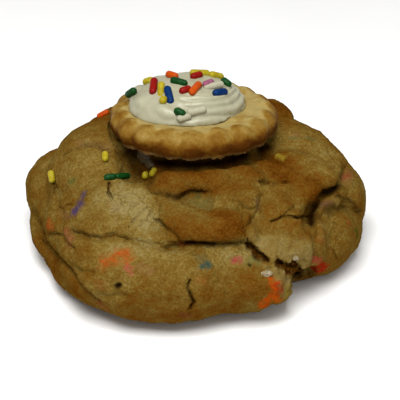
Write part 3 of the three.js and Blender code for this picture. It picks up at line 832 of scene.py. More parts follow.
normals = normals_of(biscuit)
lumps = noise_at(points, 5.5, 2, 11.0) * BISCUIT_LUMPS
crumbs = noise_at(points, 1.5, 4, 12.0) * BISCUIT_CRUMB
ragged = noise_at(points, 1.2, 3, 13.0)
points += normals * (lumps + crumbs + (0.8 * ragged + 0.25) * edge)[:, None]
points[:, 2] = np.maximum(points[:, 2], BISCUIT_UNDERSIDE + 0.02)
move_points(biscuit, points * MM)
biscuit.data.transform(biscuit_place)
move_points(biscuit, kept_inside(points_of(biscuit), "biscuit"))
smooth_faces(biscuit)
print("biscuit", len(biscuit.data.polygons), "faces, radius", round(radius.max(), 1), "mm")

# %% [markdown]
# ## The icing
#
# Soft buttercream was piped in a turn and a half and pressed flat with a knife. What is left of the
# piping are rounded ridges, which come from the front and run up round the right side, closer
# together as they go, and fat curls on the left. A low dome, wider where it was squeezed out at the
# front right, gives the mass of it and stretched balls the curls. One remesh lets them flow together,
# and the ridges are raised on the skin.

# %% The icing's form
ICING_AT = (-2.0, 1.6)                       # from the biscuit's middle
ICING_RADIUS = 16.8
ICING_HEIGHT = 7.9
ICING_FOOT = PLATE_TOP - 0.1
ICING_VOXEL = 0.32 * MM
CURLS = [
    # name, share of the radius, turn in degrees, half sizes along, across and up, heading from its turn
    ("curl, left", 0.80, 205, (5.2, 3.0, 3.4), 80),
    ("curl, left inner", 0.52, 215, (5.0, 2.6, 2.6), 75),
    ("curl, front left", 0.80, 240, (6.2, 3.0, 3.0), 82),
    ("curl, far left", 0.84, 168, (5.4, 2.8, 3.0), 95),
    ("curl, back left", 0.80, 128, (6.0, 3.0, 3.4), 92),
    ("curl, back", 0.76, 85, (6.4, 3.2, 3.8), 90),
    ("curl, back right", 0.78, 45, (6.0, 3.0, 3.4), 88),
]
RIDGE_FIRST = 10.4                           # out to the first ridge, where the ridges start
RIDGE_DRIFT = 4.2                            # how far it has moved out where they end
RIDGE_SPACING = 2.2
RIDGE_SPACING_LOST = 1.0
RIDGE_TURNS = (-88, 22)                      # from the start of the ridges to their end, in degrees
RIDGE_HEIGHT = 0.6
SQUEEZED_OUT = (-66, 24, 0.09)               # where the dome is wider, over what turn, by what share
TOP_ROOM = 0.8                               # mm under the top, where sprinkles stand up


def icing_height(share):
    """How high the dome is at a share of its radius, in mm."""
    return ICING_HEIGHT * (1 - np.minimum(share, 1.0) ** 2.6) ** 0.6


def curl(name, share, turn, half, heading):
    """One fat curl of icing, lying on the dome."""
    turn = math.radians(turn)
    out = share * ICING_RADIUS
    x, y = ICING_AT[0] + out * math.cos(turn), ICING_AT[1] + out * math.sin(turn)
    up = ICING_FOOT + icing_height(share) - half[2] + 0.35
    bpy.ops.mesh.primitive_uv_sphere_add(
        segments=32, ring_count=16, radius=1, location=Vector((x, y, up)) * MM)
    ball = bpy.context.object
    ball.name = name
    ball.scale = Vector(half) * MM
    ball.rotation_euler.z = turn + math.radians(heading)
    return ball


deselect()
bpy.ops.mesh.primitive_uv_sphere_add(segments=96, ring_count=48, radius=1)
dome = bpy.context.object
dome.name = "dome"
points = points_of(dome)
share = np.hypot(points[:, 0], points[:, 1])
turn = np.arctan2(points[:, 1], points[:, 0])
wavy = 1 + 0.035 * np.sin(2 * turn + 0.6) + 0.03 * np.sin(3 * turn + 2)
turned = (np.degrees(turn) - SQUEEZED_OUT[0]) / SQUEEZED_OUT[1]
wavy += SQUEEZED_OUT[2] * np.exp(-turned ** 2)
points[:, 0] = ICING_AT[0] + points[:, 0] * ICING_RADIUS * wavy
points[:, 1] = ICING_AT[1] + points[:, 1] * ICING_RADIUS * wavy
points[:, 2] = np.where(points[:, 2] > 0.001, ICING_FOOT + icing_height(share), ICING_FOOT)
move_points(dome, points * MM)
icing = join([dome, *[curl(*entry) for entry in CURLS]], "icing_body")
apply_modifier(icing, "REMESH", mode="VOXEL", voxel_size=ICING_VOXEL, use_smooth_shade=True)
apply_modifier(icing, "SMOOTH", factor=0.5, iterations=7)

# %% The icing's ridges
points = points_of(icing) / MM
normals = normals_of(icing)
offset = points[:, :2] - np.array(ICING_AT)
out = np.hypot(offset[:, 0], offset[:, 1])
turn = np.degrees(np.arctan2(offset[:, 1], offset[:, 0]))
along = (turn - RIDGE_TURNS[0]) / (RIDGE_TURNS[1] - RIDGE_TURNS[0])
first = RIDGE_FIRST + RIDGE_DRIFT * along
spacing = RIDGE_SPACING - RIDGE_SPACING_LOST * np.clip(along, 0, 1)
phase = (out - first) / spacing + 0.15 * noise_at(points, 6.0, 2, 22.0)
there = smoothstep(along, -0.18, 0.05) * (1 - smoothstep(along, 1.1, 1.6))
there *= smoothstep(phase, -0.9, -0.3) * (1 - smoothstep(phase, 2.6, 3.2))
ridges = there * RIDGE_HEIGHT * (1.4 * np.abs(np.cos(np.pi * phase)) - 0.7)
softness = noise_at(points, 4.0, 3, 21.0) * 0.25
points += normals * (ridges + softness)[:, None]
points[:, 2] = np.maximum(points[:, 2], ICING_FOOT)
move_points(icing, points * MM)
apply_modifier(icing, "SMOOTH", factor=0.5, iterations=1)
icing.data.transform(biscuit_place)
points = points_of(icing)
points[:, 2] = np.minimum(points[:, 2], cad_high[2] - TOP_ROOM * MM)
move_points(icing, points)
smooth_faces(icing)
icing_tree = surface_tree(icing)
print("icing", len(icing.data.polygons), "faces, top at",
      round(points[:, 2].max() / MM, 2), "mm")

# %% [markdown]
# ## The sprinkles
#
# Sugar sprinkles are short rods with rounded ends, all about 2 mm thick and none quite as long as
# another. One rod is modelled and copied, and each copy is stretched between its ends without its
# caps losing their roundness. It is laid where it shows in the photograph: its middle is found on
# the surface by the line of sight, and it lies along the surface in the direction in which it
# shows, pressed a little into what it lies on.

# %% Where the sprinkles lie
ROD_RADIUS = 1.12
ROD_SUNK = 0.3                               # share of its thickness that is pressed in
LONGEST_ROD = 6.4
ON_DOUGH_THICK = 0.86                        # those on the dough have partly melted

ICING_SPRINKLES = [
    # name, colour, the two ends of its axis over the picture, how far it is lifted, in mm
    ("green, left edge", "green", (127.5, 93.5), (132.5, 91), 0.1),
    ("red, upright", "red", (154.4, 94), (155.3, 83.5), 0.4),
    ("yellow, upright", "yellow", (161.6, 97), (161.4, 84), 0.1),
    ("yellow, back left", "yellow", (147, 83), (151, 82), 0.0),
    ("yellow, end on", "yellow", (163, 102), (163.6, 100.8), 0.1),
    ("blue, left", "blue", (171, 101.5), (168, 89.5), 0.3),
    ("orange, back", "orange", (169.5, 75.8), (175, 78), 0.1),
    ("green, top", "green", (174, 81.5), (184, 84.5), -0.1),
    ("dark red", "red", (183, 92.3), (187.8, 90.5), 0.0),
    ("orange, upright", "orange", (192.4, 93.6), (198.2, 85.8), 0.3),
    ("red, back", "red", (194, 78.2), (199.5, 76.3), 0.0),
    ("pink", "pink", (206, 86), (210.5, 83.8), 0.0),
    ("green, right", "green", (223.4, 82.6), (227, 85.4), 0.1),
    ("blue, right", "blue", (215.3, 94.3), (223, 93), 0.1),
    ("green, front", "green", (178.4, 111.8), (182.5, 113.8), 0.2),
    ("white, front left", "white", (180.5, 119.4), (187.5, 117.4), 0.0),
    ("white, front right", "white", (211.5, 127), (228, 123.4), 0.0),
    ("white, right", "white", (207, 88.6), (220, 85.2), -0.2),
    ("white, front", "white", (190.5, 112.4), (202.5, 110), -0.4),
    ("yellow, back", "yellow", (193, 74.4), (206, 74.4), -0.1),
    ("yellow, back right", "yellow", (212, 76.4), (220, 77.6), -0.1),
]
DOUGH_SPRINKLES = [
    ("yellow, left shoulder", "yellow", (51.8, 174), (53, 180), 0.2),
    ("yellow, beside the biscuit", "yellow", (105, 155.4), (105.4, 159.6), 0.1),
    ("green, first half", "green", (107.5, 178.6), (112.5, 177.8), 0.1),
    ("green, second half", "green", (115.5, 177.4), (124.5, 176.6), 0.3),
    ("yellow, in the hollow", "yellow", (145.6, 176.5), (145.8, 174.8), -0.1),
    ("yellow, high in the hollow", "yellow", (153.2, 174.2), (155, 171), -0.1),
    ("orange, behind the biscuit", "orange", (100.5, 117), (107, 113.5), 0.0),
]
BACK_SPRINKLES = [
    # name, colour, turn and rise of its place from the heart of the dough, heading, length in mm
    ("blue, back", "blue", 118, 22, 15, 4.6),
    ("red, back", "red", 92, 38, -40, 4.4),
    ("yellow, back right", "yellow", 66, 17, 65, 4.6),
    ("green, back right", "green", 48, 6, 30, 4.4),
]
DOUGH_HEART = Vector((0, 3, 12))

# %% Modelling a sprinkle and laying it down
def plain_rod():
    """A rod with no length between its two caps, standing along Z."""
    deselect()
    bpy.ops.mesh.primitive_uv_sphere_add(segments=20, ring_count=14, radius=ROD_RADIUS * MM)
    rod = bpy.context.object
    rod.name = "rod"
    return rod


def lay_rod(model, first, second, wobble, thick):
    """A copy of the rod, its caps moved apart so that its axis runs between two points."""
    rod = model.copy()
    rod.data = model.data.copy()
    bpy.context.collection.objects.link(rod)
    axis = second - first
    points = points_of(rod)
    points *= thick
    upper = points[:, 2] > 0
    points[upper, 2] += axis.length / 2
    points[~upper, 2] -= axis.length / 2
    points *= 1 + 0.05 * noise_at(points, 1.6 * MM, 2, wobble)[:, None]
    points[:, 0] += 0.09 * MM * np.cos(points[:, 2] / (2.2 * MM)) * math.sin(wobble)
    move_points(rod, points)
    turn = axis.to_track_quat("Z", "Y").to_matrix().to_4x4()
    rod.data.transform(Matrix.Translation((first + second) / 2) @ turn)
    return rod


def rod_on(tree, model, name, start, end, lift, wobble, thick):
    """A rod laid on a surface, along the direction in which it shows in the picture."""
    middle, normal = seen_point(tree, (start[0] + end[0]) / 2, (start[1] + end[1]) / 2)
    shown = camera_right * (end[0] - start[0]) - camera_up * (end[1] - start[1])
    shown *= PIXEL
    away = -shown.dot(normal) / min(look.dot(normal), -0.2)
    longest = LONGEST_ROD * MM - 2 * ROD_RADIUS * MM
    if shown.length < longest:
        spare = math.sqrt(longest ** 2 - shown.length ** 2)
        away = max(-spare, min(spare, away))
    half = (shown + look * away) / 2
    centre = middle + normal * (ROD_RADIUS * thick * (1 - 2 * ROD_SUNK) + lift) * MM
    rod = lay_rod(model, centre - half, centre + half, wobble, thick)
    rod.name = name
    points = points_of(rod)
    points[:, 2] -= max(0.0, points[:, 2].max() - cad_high[2] + 2 * HAIR)
    move_points(rod, points)
    return rod


def rod_behind(model, name, turn, rise, heading, length, wobble):
    """A rod laid on the dough where the photograph does not show it."""
    turn, rise, heading = (math.radians(angle) for angle in (turn, rise, heading))
    level = math.cos(rise)
    outward = Vector((level * math.cos(turn), level * math.sin(turn), math.sin(rise)))
    heart = (DOUGH_HEART - OUTLINE_MIDDLE) * MM
    point, normal, _, _ = dough_tree.ray_cast(heart + outward * 80 * MM, -outward)
    along = Vector((math.cos(heading), math.sin(heading), 0))
    along = (along - normal * along.dot(normal)).normalized() * (length / 2 - ROD_RADIUS) * MM
    centre = point + normal * ROD_RADIUS * (1 - 2 * ROD_SUNK) * MM
    rod = lay_rod(model, centre - along, centre + along, wobble, ON_DOUGH_THICK)
    rod.name = name
    return rod


# %% All the sprinkles
model = plain_rod()
rods = {}
for tree, entries, thick in ((icing_tree, ICING_SPRINKLES, 1.0),
                             (dough_tree, DOUGH_SPRINKLES, ON_DOUGH_THICK)):
    for name, colour, start, end, lift in entries:
        wobble = 1.0 + 0.7 * sum(len(kept) for kept in rods.values())
        rod = rod_on(tree, model, name, start, end, lift, wobble, thick)
        rods.setdefault(colour, []).append(rod)
for name, colour, *place in BACK_SPRINKLES:
    wobble = 1.0 + 0.7 * sum(len(kept) for kept in rods.values())
    rods[colour].append(rod_behind(model, name, *place, wobble))
pick(model)
bpy.ops.object.delete()
sprinkles = {}
for colour, laid in rods.items():
    sprinkles[colour] = join(laid, f"sprinkles_{colour}")
    smooth_faces(sprinkles[colour])
    print(colour, "sprinkles:", len(laid))

# %% [markdown]
# ## White chips
#
# White chocolate shows in three places: two lumps squeezed out beside the biscuit, one on the torn
# edge of the roll and one in the flap. Each is a ball pushed out of shape by noise and sunk into the
# dough.

# %% The white chips
CHIPS = [
    # name, its middle over the picture, half sizes in mm, how far it stands out in mm
    ("beside the biscuit", (146, 157), (2.2, 1.8, 2.4), 0.2),
    ("beside the biscuit, low", (151, 164), (1.5, 1.3, 1.4), 0.1),
    ("torn edge", (266, 273), (1.9, 1.3, 0.9), -0.5),
    ("flap", (295.5, 257), (1.2, 1.0, 1.2), -0.5),
]
CHIP_UNEVEN = 0.30


def chip(name, place, half, out):
    """One lump, sunk into the dough where it shows."""
    point, normal = seen_point(dough_tree, *place)
    bpy.ops.mesh.primitive_ico_sphere_add(subdivisions=4, radius=1)
    lump = bpy.context.object
    lump.name = name
    points = points_of(lump)
    points *= 1 + CHIP_UNEVEN * noise_at(points, 0.9, 4, half[0] * 7)[:, None]
    points *= np.array(half) * MM
    move_points(lump, points)
    lump.location = point + normal * out * MM
    return lump


deselect()
chips = join([chip(*entry) for entry in CHIPS], "white_chips")
smooth_faces(chips)
print("white chips", len(CHIPS))

# %% [markdown]
# ## Finishes
#
# None of these surfaces is one flat colour. The dough is pale in its folds and where it has torn,
# golden on its rounded parts and brown on its ridges and along its foot, with stains where sprinkles
# melted into it. Shade is painted into its creases, cracks and deep hollows. How brown, how torn,
# how stained and how shaded each place is, is worked out on the points and handed to the material,
# which adds the finer speckle and crumb itself.

# %% A short way to build a material
class Finish:
    """One material, with short calls that add a node and join it."""

    def __init__(self, name, rough=0.6):
        self.material = bpy.data.materials.new(name)
        self.material.use_nodes = True
        self.tree = self.material.node_tree
        self.surface = self.tree.nodes["Principled BSDF"]
        self.surface.inputs["Roughness"].default_value = rough
        self.place = self.node("ShaderNodeTexCoord").outputs["Object"]

    def node(self, kind, **settings):
        """Adds a node and gives it its settings."""
        made = self.tree.nodes.new(kind)
        for name, value in settings.items():
            setattr(made, name, value)
        return made

    def join(self, value, socket):
        """Joins another node's output to a socket, or writes a plain value into it."""
        if isinstance(value, bpy.types.NodeSocket):
            self.tree.links.new(value, socket)
        else:
            socket.default_value = value

    def attribute(self, name, output="Fac"):
        """What was worked out on the points under this name."""
        return self.node("ShaderNodeAttribute", attribute_name=name).outputs[output]

    def noise(self, size, detail=3.0, rough=0.5):
        """Soft noise with bumps about `size` mm across."""
        made = self.node("ShaderNodeTexNoise")
        self.join(self.place, made.inputs["Vector"])
        made.inputs["Scale"].default_value = 1 / (size * MM)
        made.inputs["Detail"].default_value = detail
        made.inputs["Roughness"].default_value = rough
        return made.outputs["Fac"]

    def crackle(self, size, width):
        """1 on thin wandering lines between patches about `size` mm across, and 0 beside them."""
        bend = self.node("ShaderNodeTexNoise")
        self.join(self.place, bend.inputs["Vector"])
        bend.inputs["Scale"].default_value = 1.6 / (size * MM)
        shift = self.node("ShaderNodeVectorMath", operation="MULTIPLY_ADD")
        self.join(bend.outputs["Color"], shift.inputs[0])
        shift.inputs[1].default_value = (size * MM, size * MM, size * MM)
        self.join(self.place, shift.inputs[2])
        cells = self.node("ShaderNodeTexVoronoi", feature="DISTANCE_TO_EDGE")
        self.join(shift.outputs["Vector"], cells.inputs["Vector"])
        cells.inputs["Scale"].default_value = 1 / (size * MM)
        return self.spread(cells.outputs["Distance"], 0.0, width / size, 1.0, 0.0)

    def math(self, operation, first, second=0.0, third=0.0):
        """A sum on one or more values."""
        made = self.node("ShaderNodeMath", operation=operation)
        for value, socket in zip((first, second, third), made.inputs):
            self.join(value, socket)
        return made.outputs["Value"]

    def spread(self, value, low, high, to_low=0.0, to_high=1.0):
        """A value carried from one range to another and kept inside it."""
        made = self.node("ShaderNodeMapRange")
        settings = (value, low, high, to_low, to_high)
        for name, given in zip(("Value", "From Min", "From Max", "To Min", "To Max"), settings):
            self.join(given, made.inputs[name])
        return made.outputs["Result"]

    def ramp(self, value, stops):
        """Colours by a value. Each stop is its place and its colour."""
        made = self.node("ShaderNodeValToRGB")
        elements = made.color_ramp.elements
        while len(elements) < len(stops):
            elements.new(0.5)
        for element, (place, colour) in zip(elements, stops):
            element.position = place
            element.color = (*colour, 1)
        self.join(value, made.inputs["Fac"])
        return made.outputs["Color"]

    def mix(self, share, first, second, blend="MIX"):
        """Two colours mixed by a share."""
        made = self.node("ShaderNodeMix", data_type="RGBA", blend_type=blend)
        self.join(share, made.inputs[0])
        for value, socket in ((first, made.inputs[6]), (second, made.inputs[7])):
            self.join(value if isinstance(value, bpy.types.NodeSocket) else (*value, 1), socket)
        return made.outputs[2]

    def bump(self, height, strength, depth, under=None):
        """Fine relief by a value, `depth` mm deep, over any relief that is there already."""
        made = self.node("ShaderNodeBump")
        made.inputs["Strength"].default_value = strength
        made.inputs["Distance"].default_value = depth * MM
        self.join(height, made.inputs["Height"])
        if under is not None:
            self.join(under, made.inputs["Normal"])
        return made.outputs["Normal"]

    def let_light_in(self, weight, radius):
        """How much light runs through, and how far in metres for red, green and blue."""
        self.surface.inputs["Subsurface Weight"].default_value = weight
        self.surface.inputs["Subsurface Radius"].default_value = radius
        self.surface.inputs["Subsurface Scale"].default_value = 1.0

    def put_on(self, thing, colour, normal=None):
        """Joins the colour and the relief to the surface, and puts the material on the piece."""
        self.join(colour, self.surface.inputs["Base Color"])
        if normal is not None:
            self.join(normal, self.surface.inputs["Normal"])
        thing.data.materials.clear()
        thing.data.materials.append(self.material)


LIGHT_ON_FOOD = 1.6                          # how brightly a surface that faces the camera is lit


def shown(red, green, blue):
    """The colour of a surface that shows on a screen as this, 0 to 255, in this scene's light."""
    shares = (red / 255, green / 255, blue / 255)
    light = (s / 12.92 if s <= 0.04045 else ((s + 0.055) / 1.055) ** 2.4 for s in shares)
    return tuple(amount / LIGHT_ON_FOOD for amount in light)


def keep_on_points(thing, name, values):
    """Writes a value for every point into the mesh, for the material to read."""
    thing.data.attributes.new(name, "FLOAT", "POINT")
    thing.data.attributes[name].data.foreach_set("value", np.asarray(values, dtype=np.float32))


def keep_colour_on_points(thing, name, values):
    """Writes a colour and a strength for every point into the mesh."""
    thing.data.attributes.new(name, "FLOAT_COLOR", "POINT")
    thing.data.attributes[name].data.foreach_set("color", values.astype(np.float32).ravel())


# %% [markdown]
# ### Where the dough is browned
#
# Browning comes from heat that arrives from above and from the tray: the high, thin parts and the
# foot go brown first, the folds stay pale. Each patch that shows in the photograph is given with its
# own place and reach, and the rest follows from the height and from how far a place bulges out.

# %% The dough's browning
BROWNED = [
    # name, path over the picture, reach in mm, how brown
    ("brown roll", [(170, 222), (185, 232), (205, 233), (232, 232), (241, 225)], 4.5, 0.55),
    ("brown roll, right end", [(220, 214), (236, 222)], 3.5, 0.6),
    ("swoosh", [(160, 206), (175, 222)], 3.0, 0.25),
    ("ridge, left", [(150, 172), (180, 173), (215, 172)], 4.0, 0.5),
    ("ridge, right", [(215, 168), (250, 165), (262, 160)], 3.5, 0.35),
    ("ridge, lower", [(155, 184), (185, 186), (225, 184)], 3.5, 0.35),
    ("ridge, middle", [(190, 178), (230, 178), (252, 172)], 4.0, 0.35),
    ("right ridge", [(268, 160), (290, 172), (308, 184), (316, 196)], 4.5, 0.6),
    ("right ridge, low", [(285, 195), (305, 190)], 4.0, 0.25),
    ("tongue", [(275, 185), (300, 196)], 4.0, 0.2),
    ("trunk", [(240, 186), (246, 198)], 4.0, 0.18),
    ("shoulder, low", [(75, 205), (95, 215)], 6.0, 0.12),
    ("flap", [(282, 228), (302, 232)], 4.5, 0.3),
    ("front roll, foot", [(130, 308), (160, 314), (200, 314), (235, 306)], 3.5, 0.3),
    ("front roll, right", [(215, 292), (250, 288), (262, 292)], 4.5, 0.3),
    ("base flange", [(38, 240), (55, 268), (75, 292), (95, 306)], 3.5, 0.28),
    ("left rim", [(34, 180), (38, 205), (44, 225)], 4.0, 0.08),
    ("right rim", [(350, 190), (358, 210), (352, 235), (345, 255)], 5.0, 0.15),
    ("right knob", [(262, 104), (278, 106)], 4.0, 0.45),
]
PALE = [
    # the same, by how much paler
    ("left fold", [(115, 195), (135, 205), (148, 225)], 7.0, 0.42),
    ("shoulder", [(80, 160), (90, 185), (85, 210)], 8.0, 0.08),
    ("front roll, top", [(110, 248), (150, 252), (200, 252), (240, 250)], 3.5, 0.20),
    ("trunk", [(253, 205), (256, 212)], 2.2, 0.15),
    ("hollow", [(190, 203), (208, 203)], 3.0, 0.12),
    ("flap", [(275, 240), (300, 250)], 5.0, 0.2),
    ("right back", [(275, 125), (310, 140), (340, 170)], 9.0, 0.10),
]
BASE_BROWN = 0.46
FOOT_BROWN = 0.3
BACK_BROWN = 0.2
BROWNED_SHARE = 0.75
# the creases' painted shade: a dark line along each, and a softer shade round it
CREASE_LINE = 0.14                           # share of a crease's reach that its dark line takes
SHADED = [
    # deep places that light hardly reaches
    ("gap", [(158, 162), (180, 164), (200, 165), (225, 161), (245, 155)], 1.9, 1.0),
    ("hole by the gap", [(260, 149), (268, 147)], 1.6, 1.0),
    ("hollow left of the biscuit", [(129, 152), (133, 163), (139, 172)], 3.0, 0.75),
    ("hole beside the flap", [(315, 207), (312, 214), (311, 224)], 2.1, 0.95),
    ("over the right rim", [(323, 192), (329, 191), (337, 187)], 1.8, 0.9),
    ("under the brown roll", [(187, 242), (200, 243), (214, 244)], 0.9, 0.9),
    ("foot of the ridge", [(168, 195), (177, 197), (184, 194)], 1.0, 0.7),
    ("pit, front left", [(117.4, 286), (119.2, 285.6)], 0.95, 1.0),
    ("crack, front roll", [(192, 299), (194, 302), (191, 305)], 0.4, 1.0),
    ("crack, front roll, high", [(190, 282), (188, 286)], 0.3, 0.8),
]
CRACKLED = [
    # where the baked skin has fine dark lines
    ("mound", [(116, 198), (132, 206), (146, 216)], 6.0, 1.0),
    ("front roll, top right", [(195, 249), (225, 249), (240, 251)], 3.0, 0.8),
    ("front roll, top left", [(120, 236), (145, 243)], 3.0, 0.7),
    ("shoulder", [(70, 190), (100, 200)], 6.0, 0.5),
    ("trunk", [(240, 185), (250, 200)], 4.0, 0.6),
    ("right rim", [(330, 225), (340, 245)], 4.0, 0.5),
]


def patches(points, tree, entries, wander):
    """How strong a list of soft patches is at every point."""
    total = np.zeros(len(points))
    for _, path, reach, strength in entries:
        away, _ = distance_to_path(points, seen_path(tree, path))
        share = np.clip(away / (reach * MM) + wander, 0, None)
        total = np.maximum(total, strength * np.exp(-share ** 2))
    return total


# %% What the dough's material reads
points = points_of(dough)
# Painted shade: every crease and crack gets a dark line along it and a softer shade round it, where
# shade falls.
crease_shade = np.zeros(len(points))
for name, _, reach, depth, *_ in CREASES + BACK_CREASES:
    away, _ = distance_to_path(points, crease_lines[name])
    near = away / (reach * MM)
    line = min(1.0, depth / 1.8) * np.exp(-(near / CREASE_LINE) ** 2)
    soft = 0.3 * depth / 3.0 * np.clip(1 - near, 0, 1) ** 2
    crease_shade = np.maximum(crease_shade, np.maximum(line, soft))
for name, _, reach, depth in CRACKS:
    away, _ = distance_to_path(points, crack_lines[name])
    line = min(1.0, depth) * np.clip(1.3 - away / (reach * MM), 0, 1)
    crease_shade = np.maximum(crease_shade, line)
shaded = patches(points, dough_tree, SHADED, noise_at(points, 3.0 * MM, 2, 35.0) * 0.2)
crackled = patches(points, dough_tree, CRACKLED, noise_at(points, 3.0 * MM, 2, 36.0) * 0.3)
wander = noise_at(points, 4.5 * MM, 3, 31.0) * 0.35
mottle = noise_at(points, 6.0 * MM, 4, 32.0)
fine_mottle = noise_at(points, 1.8 * MM, 3, 33.0)
foot = np.exp(-points[:, 2] / (3.2 * MM)) * FOOT_BROWN
hidden = smoothstep(points[:, 1] / MM, 5, 20) * smoothstep(points[:, 2] / MM, 18, 30) * BACK_BROWN
browning = BASE_BROWN + 0.12 * mottle + 0.07 * fine_mottle + foot + hidden
browning += BROWNED_SHARE * patches(points, dough_tree, BROWNED, wander)
browning -= patches(points, dough_tree, PALE, wander)
browning += 0.12 * dough_lumps / LUMP_HEIGHT
browning -= 0.22 * torn
keep_on_points(dough, "browning", np.clip(browning, 0, 1))
keep_on_points(dough, "torn", torn)
keep_on_points(dough, "crevice_shade", np.clip(crease_shade, 0, 1))
keep_on_points(dough, "shade", np.clip(shaded, 0, 1))
keep_on_points(dough, "crackle", np.clip(crackled, 0, 1))
keep_on_points(dough, "split", split)
print("browning", round(browning.min(), 2), "to", round(browning.max(), 2))

# %% [markdown]
# ### Where sprinkles melted into the dough
#
# The dough was full of sprinkles, and most of them have dissolved into soft stains of their own
# colour, each a little blurred. At the torn end two of them have boiled up into a clear gel.

# %% The stains
STAINS = [
    # name, path over the picture, reach in mm, screen colour, strength
    ("green, shoulder", [(70, 181), (73, 181)], 1.0, (70, 98, 50), 0.6),
    ("purple, shoulder", [(75, 210), (79, 205)], 1.9, (70, 54, 100), 1.0),
    ("purple, shoulder, high", [(79, 204), (83, 196)], 1.4, (78, 62, 94), 0.85),
    ("orange, left end", [(48, 225), (50, 227)], 1.5, (165, 70, 22), 0.8),
    ("pink, left end", [(66, 231), (69, 241)], 1.7, (158, 88, 62), 0.6),
    ("orange haze, front left", [(106, 261), (116, 257), (125, 255)], 2.6, (170, 96, 40), 0.55),
    ("orange, front left", [(128, 262), (127, 255), (122, 251), (116, 255), (112, 261), (103, 263)],
     1.0, (184, 80, 22), 0.6),
    ("orange core, front left", [(119, 254), (125, 253)], 1.0, (184, 80, 22), 0.8),
    ("pink dot, front left", [(127, 268), (130, 272)], 1.15, (174, 84, 66), 0.85),
    ("pink haze, front", [(142, 268), (149, 271)], 1.7, (152, 110, 72), 0.4),
    ("red brown, foot left", [(97, 283), (102, 286)], 1.4, (132, 70, 26), 0.45),
    ("red, foot left", [(99, 301), (106, 308)], 1.4, (142, 62, 34), 0.6),
    ("red, under the roll", [(180, 243), (186, 244)], 0.9, (140, 52, 26), 0.6),
    ("blue haze, front", [(199, 257), (206, 262)], 1.5, (96, 100, 66), 0.45),
    ("blue green, front", [(203, 265), (208, 265)], 1.15, (40, 78, 72), 0.9),
    ("pink, front right", [(234, 261), (241, 261)], 1.15, (166, 70, 62), 0.9),
    ("green haze, by the split", [(247, 262), (257, 260)], 1.6, (112, 118, 68), 0.6),
    ("green, by the split", [(249, 265), (250, 266)], 0.5, (38, 60, 8), 0.9),
    ("faint orange, front", [(199, 280), (203, 281)], 1.1, (152, 92, 40), 0.5),
    ("orange gel, front", [(272, 280), (275, 286), (273, 294), (266, 302), (263, 306)],
     1.4, (190, 78, 12), 1.0),
    ("red gel, front", [(277, 284), (282, 288), (277, 297)], 1.1, (168, 50, 12), 0.95),
    ("orange gel, low", [(274, 298), (280, 301)], 1.2, (190, 84, 14), 0.9),
    ("yellow, torn end", [(287, 288), (287, 296)], 1.1, (150, 126, 34), 0.6),
    ("red gel, right", [(315, 270), (321, 270), (325, 266), (318, 266)], 1.6, (166, 26, 14), 1.0),
    ("pink gel, right", [(314, 258), (320, 262)], 1.3, (172, 74, 52), 0.85),
    ("pink haze, right rim", [(324, 204), (332, 204)], 1.5, (140, 104, 84), 0.4),
    ("red, right knob", [(344, 177), (349, 175)], 1.1, (146, 54, 36), 0.7),
    ("red haze, right knob", [(343, 180), (352, 173)], 1.8, (140, 84, 56), 0.4),
    ("green, right rim", [(356.5, 231), (357.5, 238)], 0.9, (30, 84, 20), 0.9),
    ("orange, right rim", [(322, 229), (324, 232)], 1.2, (148, 92, 42), 0.4),
    ("orange, right rim low", [(321, 241), (324, 241)], 1.2, (150, 88, 40), 0.45),
    ("orange, far right", [(349, 222), (350, 224)], 1.1, (150, 82, 38), 0.5),
    ("green dash, back", [(290, 138), (301, 138)], 0.6, (78, 92, 56), 0.6),
    ("green dash, back right", [(306, 137), (315, 140)], 0.6, (74, 92, 54), 0.55),
    ("pink dash, back", [(293, 134), (298, 135)], 0.6, (136, 92, 70), 0.45),
    ("yellow, right ridge", [(277, 156), (282, 158)], 1.2, (158, 138, 44), 0.7),
    ("mauve hollow", [(257, 202), (258, 208)], 1.1, (106, 86, 66), 0.4),
    ("green hollow", [(194, 203), (202, 206), (208, 204)], 2.2, (100, 96, 52), 0.55),
    ("green, ridge foot", [(197, 193), (200, 195)], 1.0, (66, 76, 34), 0.6),
    ("pink, ridge foot", [(168, 200), (175, 199)], 1.0, (140, 98, 58), 0.35),
    ("pink, fold", [(111, 206), (116, 208)], 1.3, (146, 112, 78), 0.4),
    ("pink, left rim", [(63, 214), (67, 217)], 1.2, (138, 94, 64), 0.4),
    ("pink, shoulder top", [(77, 141), (80, 143)], 1.0, (136, 90, 58), 0.45),
    ("pink haze, shoulder", [(90, 145), (106, 149)], 2.0, (142, 110, 70), 0.35),
    ("pink, underside", [(182, 315), (189, 316)], 1.2, (124, 66, 46), 0.5),
    ("brown spot, front", [(101, 314), (104, 318)], 1.2, (120, 56, 26), 0.35),
]
HIDDEN_STAINS = [
    # name, place on the back in mm, reach in mm, screen colour, strength
    ("orange, back left", (-40, 26, 15), 2.2, (176, 88, 32), 0.7),
    ("blue, back", (-22, 40, 16), 1.8, (50, 80, 90), 0.7),
    ("pink, back", (2, 44, 18), 2.4, (176, 86, 76), 0.75),
    ("green, back", (18, 42, 12), 1.8, (64, 100, 52), 0.7),
    ("red, back right", (38, 30, 12), 2.0, (160, 56, 34), 0.7),
    ("purple, right", (46, 14, 18), 1.8, (84, 66, 108), 0.7),
    ("orange, back low", (-8, 42, 8), 2.2, (170, 84, 34), 0.6),
    ("yellow, back high", (10, 34, 28), 2.0, (178, 148, 46), 0.6),
]


